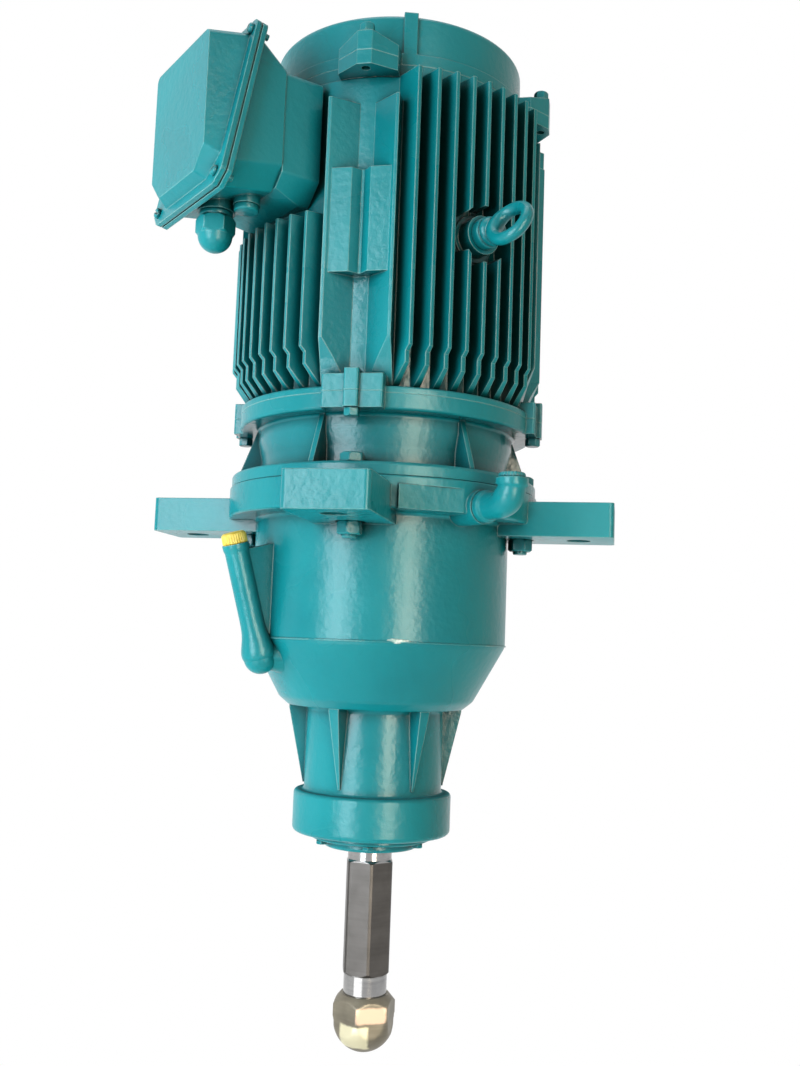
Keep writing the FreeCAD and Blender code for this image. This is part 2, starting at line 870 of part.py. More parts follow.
def bearing_lock_nut():
    nut_foot = lower_bearing_foot - lock_nut_height
    nut = tube(output_journal_radius + 9, output_journal_radius - 1, nut_foot, lower_bearing_foot)
    slot = block(
        -3, 3, output_journal_radius + 6, output_journal_radius + 12, nut_foot - 1, lower_bearing_foot + 1
    )
    return nut.cut(ring_of(slot, 4))


def seal_cover():
    seal_outer = seal_journal_radius + 9.0
    solid = revolved([
        (seal_journal_radius + 1.5, cover_boss_foot),
        (cover_boss_radius, cover_boss_foot, 3),
        (cover_boss_radius, cover_foot, 2),
        (cover_radius, cover_foot, 2),
        (cover_radius, housing_foot),
        (output_bearing_radius, housing_foot),
        (output_bearing_radius, lower_bearing_foot),
        (output_bearing_radius - 8, lower_bearing_foot),
        (output_bearing_radius - 8, housing_foot + 2),
        (seal_outer, housing_foot + 2),
        (seal_outer, housing_foot + 2 - seal_height),
        (seal_journal_radius + 1.5, housing_foot + 2 - seal_height),
    ])
    return solid.cut(cover_bolt_cuts())


def output_oil_seal():
    seal_top = housing_foot + 2
    return tube(seal_journal_radius + 9.0, seal_journal_radius + running_gap, seal_top - seal_height, seal_top)


def cover_bolt_circle():
    return (cover_boss_radius + cover_radius) / 2 + 0.5


def cover_bolt_cuts():
    hole = disc(cover_bolt_radius, cover_foot - 1, housing_foot + 14, 0, -cover_bolt_circle())
    spot = disc(cover_bolt_flats / 2 + 1.2, cover_boss_foot - 1, cover_foot, 0, -cover_bolt_circle())
    return ring_of(hole.fuse(spot), 6, 10.0)


def cover_bolts():
    head = hexagon(cover_bolt_flats, cover_foot - 4, cover_foot, 0, -cover_bolt_circle())
    shank = disc(cover_bolt_radius, cover_foot, housing_foot + 12, 0, -cover_bolt_circle())
    return ring_of(head.fuse(shank), 6, 10.0)


def cap_nut():
    corner = cap_nut_flats / math.sqrt(3)
    dome = corner - 1.5
    hex_part = hexagon(cap_nut_flats, cap_nut_foot, end_journal_foot, 0, 0, cap_nut_azimuth)
    hex_part = hex_part.common(revolved([
        (0, end_journal_foot),
        (bright_journal_radius + 2, end_journal_foot),
        (corner, end_journal_foot - cap_nut_cone_height),
        (corner, cap_nut_foot + 5),
        (dome, cap_nut_foot),
        (0, cap_nut_foot),
    ]))
    ball = Part.makeSphere(dome, vector(0, 0, cap_nut_foot))
    lower_half = ball.common(disc(dome + 1, cap_nut_foot - dome - 1, cap_nut_foot))
    bore = disc(shaft_thread_radius, end_journal_foot - shaft_thread_length - 3, end_journal_foot)
    return hex_part.fuse(lower_half).cut(bore).removeSplitter()


# Drive end shield

def drive_end_shield():
    seal_seat = motor_seal_foot + motor_seal_height
    shell = revolved([
        (motor_seal_radius, flange_top - 4),
        (hub_radius + 2, flange_top - 4, 3),
        (hub_radius + 10, flange_top + 2),
        (bore_radius - 14, flange_top + 2),
        (bore_radius - 10, flange_top - spigot_height),
        (bore_radius, flange_top - spigot_height),
        (bore_radius, flange_top),
        (motor_flange_radius, flange_top, 1),
        (motor_flange_radius, motor_flange_top, 3),
        (shield_neck_radius, motor_flange_top, 3.5),
        (shield_neck_radius, rim_foot - 30, 16),
        (shield_band_radius, rim_foot - 12, 16),
        (shield_band_radius, rim_foot, 3),
        (rim_radius, rim_foot, 3),
        (rim_radius, split_low),
        (stator_radius, split_low),
        (stator_radius, split_low + spigot_height),
        (spigot_inner, split_low + spigot_height),
        (spigot_inner, motor_flange_top + 3, 6),
        (hub_radius + 4, motor_flange_top + 1, 4),
        (hub_radius, lower_ball_top + 3),
        (ball_bearing_radius, lower_ball_top + 3),
        (ball_bearing_radius, lower_ball_foot),
        (motor_journal_radius + 5, lower_ball_foot),
        (motor_journal_radius + 5, seal_seat),
        (motor_seal_radius, seal_seat),
    ])
    web = plate(
        [(shield_neck_radius - 3, motor_flange_top - 1), (motor_flange_radius - 6, motor_flange_top - 1),
         (motor_flange_radius - 6, motor_flange_top + 2), (shield_band_radius + 2, rim_foot + 1),
         (shield_neck_radius - 3, rim_foot + 1)],
        -shield_web_thickness / 2, shield_web_thickness / 2,
    )
    half = ear_width / 2
    ear = upright(
        [(-half, shield_neck_radius), (half, shield_neck_radius),
         (half, ear_reach - 4, 2), (-half, ear_reach - 4, 2)],
        rim_foot, split_low,
    )
    boss = ear_boss(rim_foot, split_low)
    added = ring_of(web, shield_web_count, 45.0) + ring_of(ear.fuse(boss), 4)
    cuts = shield_bolt_holes(rim_foot - 1, split_low + 1) + flange_bolt_holes()
    return shell.fuse(added).cut(cuts).removeSplitter()


def ear_boss(low, high):
    half = ear_boss_width / 2
    return upright(
        [(-half, shield_neck_radius), (half, shield_neck_radius),
         (half, ear_reach + 1, 2), (-half, ear_reach + 1, 2)],
        low, high,
    )


def shield_bolt_holes(low, high):
    return ring_of(disc(shield_bolt_radius, low, high, 0, -ear_circle_radius), 4)


def flange_bolt_holes():
    hole = disc(flange_bolt_radius + hole_clearance, flange_top - 1, motor_flange_top + 1, 0, -flange_bolt_circle)
    return ring_of(hole, arm_count)


def flange_bolts():
    length = motor_flange_top - flange_nut_foot + flange_bolt_end
    bolt = hex_bolt(flange_bolt_radius, flange_bolt_flats, 8.8, flange_bolt_circle, length, motor_flange_top)
    return ring_of(bolt, arm_count)


def flange_nuts():
    nut = hexagon(flange_bolt_flats, flange_nut_foot, nut_seat_depth, 0, -flange_bolt_circle)
    hole = disc(flange_bolt_radius, flange_nut_foot - 1, nut_seat_depth + 1, 0, -flange_bolt_circle)
    return ring_of(nut.cut(hole), arm_count)


def lower_shield_bolts():
    # Heads hang below the ears, shanks reach up into the frame.
    head = hexagon(shield_bolt_flats, rim_foot - 8, rim_foot, 0, -ear_circle_radius)
    shank = disc(shield_bolt_radius, rim_foot, split_low + 14, 0, -ear_circle_radius)
    return ring_of(head.fuse(shank), 4)


def upper_shield_bolts():
    seat = split_high + top_ear_height
    head = hexagon(shield_bolt_flats, seat, seat + 6, 0, -ear_circle_radius)
    shank = disc(shield_bolt_radius, split_high - 12, seat, 0, -ear_circle_radius)
    return ring_of(head.fuse(shank), 4)


# Motor frame

def motor_frame():
    shell = revolved([
        (stator_radius, split_low),
        (rim_radius, split_low),
        (rim_radius, fin_foot, 2),
        (frame_radius, fin_foot, 3),
        (frame_radius, fin_top, 2),
        (collar_radius, fin_top),
        (collar_radius, split_high),
        (stator_radius, split_high),
    ])
    fins = []
    for azimuth in (45.0, 135.0, -135.0, -45.0):
        high = box_back_low - 18.0 if azimuth == box_azimuth else fin_top
        fins += [turned(fin, azimuth) for fin in fin_group(high)]
    sides = []
    for azimuth in (0.0, 90.0, 180.0, 270.0):
        sides += [turned(shape, azimuth) for shape in foot_side(azimuth in (0.0, 180.0))]
    pedestal = turned(box_pedestal(), box_azimuth)
    solid = shell.fuse(fins + sides + [pedestal])
    clear = spoke(eyebolt_boss_radius + eyebolt_clearance, frame_radius + 1.5, fin_radius + 5, eyebolt_height)
    solid = solid.cut(turned(clear, 45.0))
    boss = turned(spoke(eyebolt_boss_radius, frame_radius - 5, fin_radius - 4, eyebolt_height), 45.0)
    collar = turned(spoke(eyebolt_boss_radius + 4, frame_radius - 5, frame_radius + 4, eyebolt_height), 45.0)
    solid = solid.fuse([boss, collar])
    cuts = [disc(stator_radius, split_low - 1, split_high + 1)]
    cuts.append(turned(spoke(8, fin_radius - 30, fin_radius, eyebolt_height), 45.0))
    wire_hole = spoke(wire_hole_radius, stator_radius - 10, box_back_reach + 1, box_middle_height())
    cuts.append(turned(wire_hole, box_azimuth))
    cuts.append(turned(pedestal_room(), box_azimuth))
    cuts += shield_bolt_holes(split_low - 1, split_low + 16) + shield_bolt_holes(split_high - 14, split_high + 1)
    cuts += base_screw_cuts()
    return solid.cut(cuts).removeSplitter()


def fin_group(high):
    fins = []
    for index in range(fins_per_quarter):
        offset = (index - (fins_per_quarter - 1) / 2) * fin_pitch
        fins.append(fin(offset, high))
    return fins


def fin(offset, high):
    # Wedge in plan, thinner at the tip, with its foot sloped and stepped in.
    root = math.sqrt(stator_radius ** 2 - offset ** 2) + 3.0
    surface = math.sqrt(frame_radius ** 2 - offset ** 2)
    tip = math.sqrt(fin_radius ** 2 - offset ** 2)
    side = plate(
        [(root, fin_foot - 2), (surface, fin_foot - 2), (tip - fin_step, fin_foot + tip - fin_step - surface),
         (tip - fin_step, fin_foot + 32), (tip, fin_foot + 37), (tip, high), (root, high)],
        offset - fin_root_thickness, offset + fin_root_thickness,
    )
    half_root = fin_root_thickness / 2
    half_tip = fin_tip_thickness / 2
    plan = upright(
        [(offset - half_root, root), (offset + half_root, root), (offset + half_tip, tip), (offset - half_tip, tip)],
        fin_foot - 3, high + 1,
    )
    return side.common(plan)


def foot_side(with_pads):
    # What lies between two groups of fins: a channel with slanted walls, the foot pads and the ears.
    root = stator_radius + 3.0
    edge = ear_reach - 5
    side = plate(
        [(root, fin_foot - 2), (frame_radius, fin_foot - 2), (frame_radius + 10, channel_low - 18),
         (edge, channel_low), (edge, channel_top), (root, channel_top)],
        -channel_half_width, channel_half_width,
    )
    half_floor = channel_floor / 2
    shapes = []
    for sign in (-1, 1):
        wall = upright(
            [(sign * half_floor, root), (sign * channel_half_width, root), (sign * channel_half_width, edge),
             (sign * (channel_half_width - channel_edge), edge), (sign * half_floor, frame_radius)],
            fin_foot - 2, channel_top,
        )
        shapes.append(side.common(wall))
    if with_pads:
        reach = frame_radius + foot_pad_height
        half = channel_half_width - channel_edge
        shapes.append(upright(
            [(-half, root), (half, root), (half, reach), (foot_pad_half_gap, reach), (1, reach - foot_pad_groove),
             (-1, reach - foot_pad_groove), (-foot_pad_half_gap, reach), (-half, reach)],
            foot_pad_low, foot_pad_high,
        ))
    shapes += [lower_frame_ear(), ear_wedge(root, split_high - upper_ear_height, split_high)]
    return shapes


def ear_wedge(root, low, high):
    # A narrow boss in front whose flanks run back to the ear's full width.
    half = ear_width / 2
    half_boss = ear_boss_width / 2
    return upright(
        [(-half, root), (half, root), (half, ear_reach - ear_flank), (half_boss, ear_reach + 1),
         (-half_boss, ear_reach + 1), (-half, ear_reach - ear_flank)],
        low, high,
    )


def lower_frame_ear():
    half = ear_width / 2
    ear = upright(
        [(-half, stator_radius + 3), (half, stator_radius + 3),
         (half, ear_reach - 4, 2), (-half, ear_reach - 4, 2)],
        split_low, split_low + 16,
    )
    return ear.fuse(ear_boss(split_low, split_low + 20))


def box_pedestal():
    half = pedestal_half_width
    foot = box_back_low - 6
    top = box_back_high - 2
    side = plate(
        [(stator_radius + 3, foot), (frame_radius + 4, foot), (box_back_reach, box_back_low + 2),
         (box_back_reach, top), (stator_radius + 3, top)],
        -half, half,
    )
    front = Part.Face(face_wire(half, foot, top, box_corner, box_corner_cut, stator_radius))
    return side.common(front.extrude(vector(0, stator_radius - box_back_reach - 1, 0)))


def pedestal_room():
    half = pedestal_pocket
    middle = box_middle_height()
    return block(-half, half, frame_radius + 1, box_back_reach + 1, middle - half, middle + half)


def box_middle_height():
    return (box_back_low + box_back_high) / 2


# Top end shield

def top_end_shield():
    cap_foot = top_shield_top - top_shield_wall
    bearing_seat = upper_ball_top + spring_ring_height
    shell = revolved([
        (0, top_shield_top),
        (top_shield_radius, top_shield_top, top_shield_edge),
        (top_shield_radius, split_high + top_shield_flange, 2),
        (collar_radius, split_high + top_shield_flange, 1),
        (collar_radius, split_high),
        (stator_radius, split_high),
        (stator_radius, split_high - spigot_height),
        (spigot_inner, split_high - spigot_height),
        (spigot_inner, cap_foot, 6),
        (hub_radius, cap_foot, 4),
        (hub_radius, upper_ball_foot - 2),
        (ball_bearing_radius, upper_ball_foot - 2),
        (ball_bearing_radius, bearing_seat),
        (ball_bearing_radius - 6, bearing_seat),
        (ball_bearing_radius - 6, bearing_seat + 4),
        (0, bearing_seat + 4),
    ])
    half = ear_width / 2
    half_boss = ear_boss_width / 2
    shoulder = split_high + top_ear_flank_height
    front = closed_wire(
        [(-half, split_high), (half, split_high), (half, shoulder), (half_boss, split_high + top_ear_height),
         (-half_boss, split_high + top_ear_height), (-half, shoulder)],
        lambda across, height: vector(across, -ear_reach - 2, height),
    )
    ear = ear_wedge(spigot_inner + 3.0, split_high, split_high + top_ear_height)
    ear = ear.common(Part.Face(front).extrude(vector(0, ear_reach, 0)))
    strap = upright(
        [(-strap_width / 2, top_shield_radius - 3), (strap_width / 2, top_shield_radius - 3),
         (strap_width / 2, top_shield_radius + 3, 1), (-strap_width / 2, top_shield_radius + 3, 1)],
        split_high + top_shield_flange - 1, top_shield_top + 0.5,
    )
    solid = shell.fuse(ring_of(ear, 4) + [turned(strap, strap_azimuth)])
    return solid.cut(shield_bolt_holes(split_high - 1, split_high + top_ear_height + 1)).removeSplitter()


# Stator, rotor and the motor shaft

def slot_boxes(reach_low, reach_high, low, high):
    slot = block(-slot_width / 2, slot_width / 2, reach_low, reach_high, low, high)
    return ring_of(slot, slot_count)


def stator_core():
    low = frame_middle - stator_length / 2
    high = frame_middle + stator_length / 2
    core = tube(stator_radius, stator_bore_radius, low, high)
    return core.cut(slot_boxes(stator_bore_radius - 2, stator_bore_radius + slot_depth, low - 1, high + 1))


def stator_windings():
    low = frame_middle - stator_length / 2
    high = frame_middle + stator_length / 2
    coils = slot_boxes(stator_bore_radius + 2, stator_bore_radius + slot_depth, low - 2, high + 2)
    ends = []
    for bottom, top in ((low - winding_overhang, low), (high, high + winding_overhang)):
        ends.append(revolved([
            (stator_bore_radius + 5, bottom, 6), (stator_bore_radius + 32, bottom, 6),
            (stator_bore_radius + 32, top, 2), (stator_bore_radius + 5, top, 2),
        ]))
    return ends[0].fuse(coils + [ends[1]]).removeSplitter()


def rotor_core():
    return tube(
        stator_bore_radius - air_gap, core_seat_radius,
        frame_middle - stator_length / 2, frame_middle + stator_length / 2,
    )


def rotor_end_rings():
    outer = stator_bore_radius - air_gap - 1.0
    low = frame_middle - stator_length / 2
    high = frame_middle + stator_length / 2
    rings = []
    for start, stop in ((low - 14, low), (high, high + 14)):
        ring = tube(outer, outer - 22, start, stop)
        rings.append(ring)
    blade = block(-2.5, 2.5, outer - 20, outer - 2, high + 13, high + 24)
    rings[1] = rings[1].fuse(ring_of(blade, 10))
    blade = block(-2.5, 2.5, outer - 20, outer - 2, low - 24, low - 13)
    rings[0] = rings[0].fuse(ring_of(blade, 10))
    return rings


def rotor_shaft():
    low = frame_middle - stator_length / 2
    high = frame_middle + stator_length / 2
    shaft = revolved([
        (0, sun_foot + 1),
        (sun_bore_radius, sun_foot + 1),
        (sun_bore_radius, sun_shoulder),
        (motor_journal_radius, sun_shoulder, 1.5),
        (motor_journal_radius, lower_ball_top),
        (shaft_shoulder_radius, lower_ball_top),
        (shaft_shoulder_radius, low),
        (core_seat_radius, low),
        (core_seat_radius, high),
        (shaft_shoulder_radius, high),
        (shaft_shoulder_radius, upper_ball_foot),
        (motor_journal_radius, upper_ball_foot),
        (motor_journal_radius, motor_shaft_top, 1.5),
        (0, motor_shaft_top),
    ])
    key_room = block(-4, 4, sun_bore_radius - 4, sun_bore_radius + 4, sun_foot + 6, sun_top - 6)
    thread = disc(4, sun_foot, sun_foot + 20)
    return shaft.cut([key_room, thread])


def on_ball_bearings(maker):
    shapes = []
    for foot in (lower_ball_foot, upper_ball_foot):
        made = maker(foot + ball_bearing_width / 2)
        shapes += made if isinstance(made, list) else [made]
    return shapes


def race_groove(middle):
    return Part.makeTorus(ball_pitch_radius, ball_radius + running_gap, vector(0, 0, middle), up)


def inner_ball_ring(middle):
    half = ball_bearing_width / 2
    ring = tube(motor_journal_radius + race_wall, motor_journal_radius, middle - half, middle + half)
    return ring.cut(race_groove(middle))


def outer_ball_ring(middle):
    half = ball_bearing_width / 2
    ring = tube(ball_bearing_radius, ball_bearing_radius - race_wall, middle - half, middle + half)
    return ring.cut(race_groove(middle))


def ball_set(middle):
    ball = Part.makeSphere(ball_radius, vector(0, -ball_pitch_radius, middle))
    pocket = Part.makeSphere(ball_radius + 0.1, vector(0, -ball_pitch_radius, middle))
    cage = tube(ball_pitch_radius + 1.6, ball_pitch_radius - 1.6, middle - ball_radius - 1, middle + ball_radius + 1)
    return ring_of(ball, ball_count) + [cage.cut(ring_of(pocket, ball_count))]


def spring_ring():
    return tube(ball_bearing_radius, ball_bearing_radius - 5, upper_ball_top, upper_ball_top + spring_ring_height)


def motor_shaft_seal():
    seal_top = motor_seal_foot + motor_seal_height
    return tube(motor_seal_radius, motor_journal_radius + running_gap, motor_seal_foot, seal_top)


def lifting_eyebolt():
    seat = fin_radius - 4
    ring_centre = seat + 40.0
    shank = spoke(8, fin_radius - 29, seat, 0)
    collar = spoke(15, seat, seat + 5, 0)
    stem = Part.makeCone(12, 8, 14, vector(0, -seat - 4, 0), vector(0, -1, 0))
    ring = Part.makeTorus(20.5, 6.5, vector(0, -ring_centre, 0), vector(1, 0, 0))
    eye = collar.fuse([shank, stem, ring])
    eye.rotate(axis_point, vector(0, -1, 0), eyebolt_turn)
    eye.translate(vector(0, 0, eyebolt_height))
    return turned(eye, 45.0)


# Terminal box

def rim_place(along, reach_shift):
    # A point on the sloped parting plane, counted up from its lower end, shifted along its normal.
    run = box_bottom_reach - box_top_reach
    rise = box_top_height - box_bottom_height
    length = math.hypot(run, rise)
    reach = box_bottom_reach - run / length * along + rise / length * reach_shift
    height = box_bottom_height + rise / length * along + run / length * reach_shift
    return reach, height


def rim_length():
    return math.hypot(box_bottom_reach - box_top_reach, box_top_height - box_bottom_height)


def box_corners(half_width, low, high, corner, cut):
    # An upright outline whose two lower corners are cut off.
    return [
        (-half_width + cut, low, cut_round), (half_width - cut, low, cut_round), (half_width, low + cut, cut_round),
        (half_width, high, corner), (-half_width, high, corner), (-half_width, low + cut, cut_round),
    ]


def rim_wire(half_width, inset, corner, cut, shift):
    def place(across, along):
        reach, height = rim_place(along, shift)
        return vector(across, -reach, height)

    return closed_wire(box_corners(half_width, inset, rim_length() - inset, corner, cut), place)


def face_wire(half_width, low, high, corner, cut, reach):
    corners = box_corners(half_width, low, high, corner, cut)
    return closed_wire(corners, lambda across, height: vector(across, -reach, height))


def inner_cut():
    # The cut corner inside a wall of even thickness.
    return box_corner_cut - (2 - math.sqrt(2)) * box_wall


def loft(wires):
    return Part.makeLoft(wires, True, True)


def rim_plate(half_width, inset, corner, cut, shift, thickness):
    return loft([
        rim_wire(half_width, inset, corner, cut, shift),
        rim_wire(half_width, inset, corner, cut, shift + thickness),
    ])


def box_screw_places():
    places = []
    low = (lid_low_screw_inset, lid_low_screw_inset)
    high = (lid_screw_inset, rim_length() - lid_screw_inset)
    for inset, along in (low, high):
        for side in (-1, 1):
            places.append((side * (box_rim_half_width - inset), along))
    return places


def rim_bars(radius, low, high):
    # Round bars at the lid screws, square to the parting plane.
    bars = []
    for across, along in box_screw_places():
        start_reach, start_height = rim_place(along, low)
        stop_reach, stop_height = rim_place(along, high)
        start = vector(across, -start_reach, start_height)
        stop = vector(across, -stop_reach, stop_height)
        bars.append(Part.makeCylinder(radius, (stop - start).Length, start, stop - start))
    return bars


def terminal_box_base():
    rim_inset = box_rim_half_width - box_half_width
    outer = loft([
        face_wire(box_half_width, box_back_low, box_back_high, box_corner, box_corner_cut, box_back_reach),
        rim_wire(box_half_width, rim_inset, box_corner, box_corner_cut, -box_rim_thickness),
    ])
    rim = rim_plate(box_rim_half_width, 0, box_corner, rim_corner_cut, -box_rim_thickness, box_rim_thickness)
    half = box_half_width - box_wall
    low = box_back_low + box_wall
    high = box_back_high - box_wall
    inside = loft([
        face_wire(half, low, high, box_corner - 4, inner_cut(), box_back_reach + box_wall),
        rim_wire(half, rim_inset + box_wall, box_corner - 4, inner_cut(), 1),
    ])
    entries = [
        disc(gland_radius + 4, gland_seat(), gland_seat() + 14, 0, -gland_reach),
        disc(plug_radius + 1, plug_seat(), plug_seat() + 14, plug_entry_across, -plug_entry_reach),
    ]
    solid = outer.fuse([rim] + entries).cut(inside)
    cuts = rim_bars(3, -box_rim_thickness - 8, 1)
    cuts.append(disc(gland_radius - 3, gland_seat() - 1, gland_seat() + 30, 0, -gland_reach))
    cuts.append(disc(plug_radius - 4, plug_seat() - 1, plug_seat() + 30, plug_entry_across, -plug_entry_reach))
    cuts.append(spoke(wire_hole_radius, box_back_reach - 1, box_back_reach + box_wall + 1, box_middle_height()))
    return turned(solid.cut(cuts), box_azimuth).cut(base_screw_cuts())


def gland_seat():
    return box_back_low - 14.0


def plug_seat():
    return box_back_low - 10.0


def base_screw_places():
    rise = (box_back_high - box_back_low) / 2 - 18
    middle = box_middle_height()
    return [(across, middle + height) for across in (-40, 40) for height in (-rise, rise)]


def base_screw_cuts():
    cuts = []
    for across, height in base_screw_places():
        cut = spoke(3, box_back_reach - 14, box_back_reach + box_wall + 1, height, across)
        cuts.append(turned(cut, box_azimuth))
    return cuts


def base_screws():
    screws = []
    for across, height in base_screw_places():
        shank = spoke(3, box_back_reach - 14, box_back_reach + box_wall, height, across)
        head = spoke(5.5, box_back_reach + box_wall, box_back_reach + box_wall + 4, height, across)
        screws.append(turned(head.fuse(shank), box_azimuth))
    return screws


def terminal_box_lid():
    rim_inset = box_rim_half_width - box_half_width
    start = gasket_thickness
    outer = loft([
        rim_wire(box_half_width, rim_inset, box_corner, box_corner_cut, start),
        face_wire(lid_face_half_width, lid_face_low, lid_face_high, box_corner, box_corner_cut, lid_face_reach),
    ])
    rim = rim_plate(box_rim_half_width, 0, box_corner, rim_corner_cut, start, box_rim_thickness)
    half = lid_face_half_width - box_wall
    low = lid_face_low + box_wall
    high = lid_face_high - box_wall
    inside = loft([
        rim_wire(box_half_width - box_wall, rim_inset + box_wall, box_corner - 4, inner_cut(), start - 1),
        face_wire(half, low, high, box_corner - 4, inner_cut(), lid_face_reach - box_wall),
    ])
    cuts = rim_bars(3, start - 1, start + box_rim_thickness + 1)
    return turned(outer.fuse(rim).cut([inside] + cuts), box_azimuth)


def lid_gasket():
    rim_inset = box_rim_half_width - box_half_width
    sheet = rim_plate(box_rim_half_width - 1, 1, box_corner, rim_corner_cut, 0, gasket_thickness)
    window = rim_plate(
        box_half_width - box_wall, rim_inset + box_wall, box_corner - 4, inner_cut(), -1, gasket_thickness + 2
    )
    return turned(sheet.cut([window] + rim_bars(3, -1, gasket_thickness + 1)), box_azimuth)


def lid_screws():
    seat = gasket_thickness + box_rim_thickness
    screws = []
    for shank, head in zip(rim_bars(3, -box_rim_thickness - 6, seat), rim_bars(5, seat, seat + 4)):
        screws.append(turned(head.fuse(shank), box_azimuth))
    return screws


def terminal_board():
    reach = box_back_reach + box_wall
    middle = box_middle_height()
    board = block(-32, 32, reach, reach + 10, middle - 52, middle - 26)
    return turned(board, box_azimuth)


def terminal_studs():
    reach = box_back_reach + box_wall + 10
    middle = box_middle_height() - 39
    studs = []
    for height in (middle - 7, middle + 7):
        for across in (-21, 0, 21):
            nut = spoke(4.5, reach, reach + 4, height, across)
            studs.append(turned(nut.fuse(spoke(2.5, reach + 4, reach + 10, height, across)), box_azimuth))
    return studs


def cable_gland_body():
    seat = gland_seat()
    collar = disc(gland_radius + 2, seat - gland_collar_height, seat, 0, -gland_reach)
    thread = disc(gland_radius - 3, seat, seat + 18, 0, -gland_reach)
    neck = disc(gland_radius - 1, seat - gland_collar_height - 10, seat - gland_collar_height, 0, -gland_reach)
    return turned(collar.fuse([thread, neck]), box_azimuth)


def cable_gland_cap():
    # A hexagon with a hemispherical end, as wide as its flats.
    top = gland_seat() - gland_collar_height - 0.5
    foot = top - gland_cap_height
    corner = gland_cap_flats / math.sqrt(3)
    dome = gland_cap_flats / 2
    sides = hexagon(gland_cap_flats, foot, top, 0, 0, 30).common(revolved([
        (0, foot), (dome, foot), (corner, foot + 2), (corner, top - 2), (dome + 1, top), (0, top),
    ]))
    ball = Part.makeSphere(dome, vector(0, 0, foot)).common(disc(dome + 1, foot - dome - 1, foot))
    bore = disc(gland_radius - 1, gland_seat() - gland_collar_height - 10, top + 1)
    cap = sides.fuse(ball).cut(bore)
    return turned(moved(cap, 0, -gland_reach, 0), box_azimuth)


def entry_plug():
    seat = plug_seat()
    head = disc(plug_radius, seat - 6, seat, plug_entry_across, -plug_entry_reach)
    thread = disc(plug_radius - 4, seat, seat + 14, plug_entry_across, -plug_entry_reach)
    return turned(head.fuse(thread), box_azimuth)


# Oil fittings

def elbow_fitting():
    bend = elbow_bend
    level = elbow_height
    corner_reach = elbow_reach
    turn = bend * (1 - math.sqrt(0.5))
    path = Part.Wire([
        Part.LineSegment(vector(0, -elbow_seat_reach, level), vector(0, -(corner_reach - bend), level)).toShape(),
        Part.Arc(
            vector(0, -(corner_reach - bend), level),
            vector(0, -(corner_reach - turn), level + turn),
            vector(0, -corner_reach, level + bend),
        ).toShape(),
        Part.LineSegment(
            vector(0, -corner_reach, level + bend), vector(0, -corner_reach, level + elbow_leg)
        ).toShape(),
    ])
    bodies = []
    for radius in (elbow_radius, elbow_radius - 4):
        section = Part.Wire([Part.makeCircle(radius, vector(0, -elbow_seat_reach, level), vector(0, -1, 0))])
        bodies.append(path.makePipeShell([section], True, True))
    top = tube(elbow_radius + 1.5, elbow_radius - 4, level + elbow_leg - 9, level + elbow_leg)
    collar = moved(top, 0, -corner_reach, 0)
    seat_collar = spoke(elbow_radius + 1.5, elbow_seat_reach, elbow_seat_reach + 6, level)
    solid = bodies[0].fuse([collar, seat_collar]).cut(bodies[1])
    return turned(solid, elbow_azimuth)


def breather_plug():
    seat = elbow_height + elbow_leg
    plug = disc(elbow_radius - 1, seat, seat + 5, 0, -elbow_reach)
    stem = disc(elbow_radius - 4, elbow_height + elbow_bend, seat, 0, -elbow_reach)
    return turned(plug.fuse(stem), elbow_azimuth)


def oil_filler_plug():
    stem = filler_line(-4.5, 0.9, 1.0)
    head = filler_line(0.5, 1.0, 1.12)
    return turned(head.fuse(stem), filler_azimuth)


# Write one file for each node

def write(name, shape):
    if isinstance(shape, list):
        shape = group(shape)
    for solid in shape.Solids:
        if not solid.isValid():
            print("not valid:", name)
    print(name, len(shape.Solids), "solids", round(shape.Volume / 1000.0, 1), "cm3")
    shape.exportStep("parts/" + name + ".step")


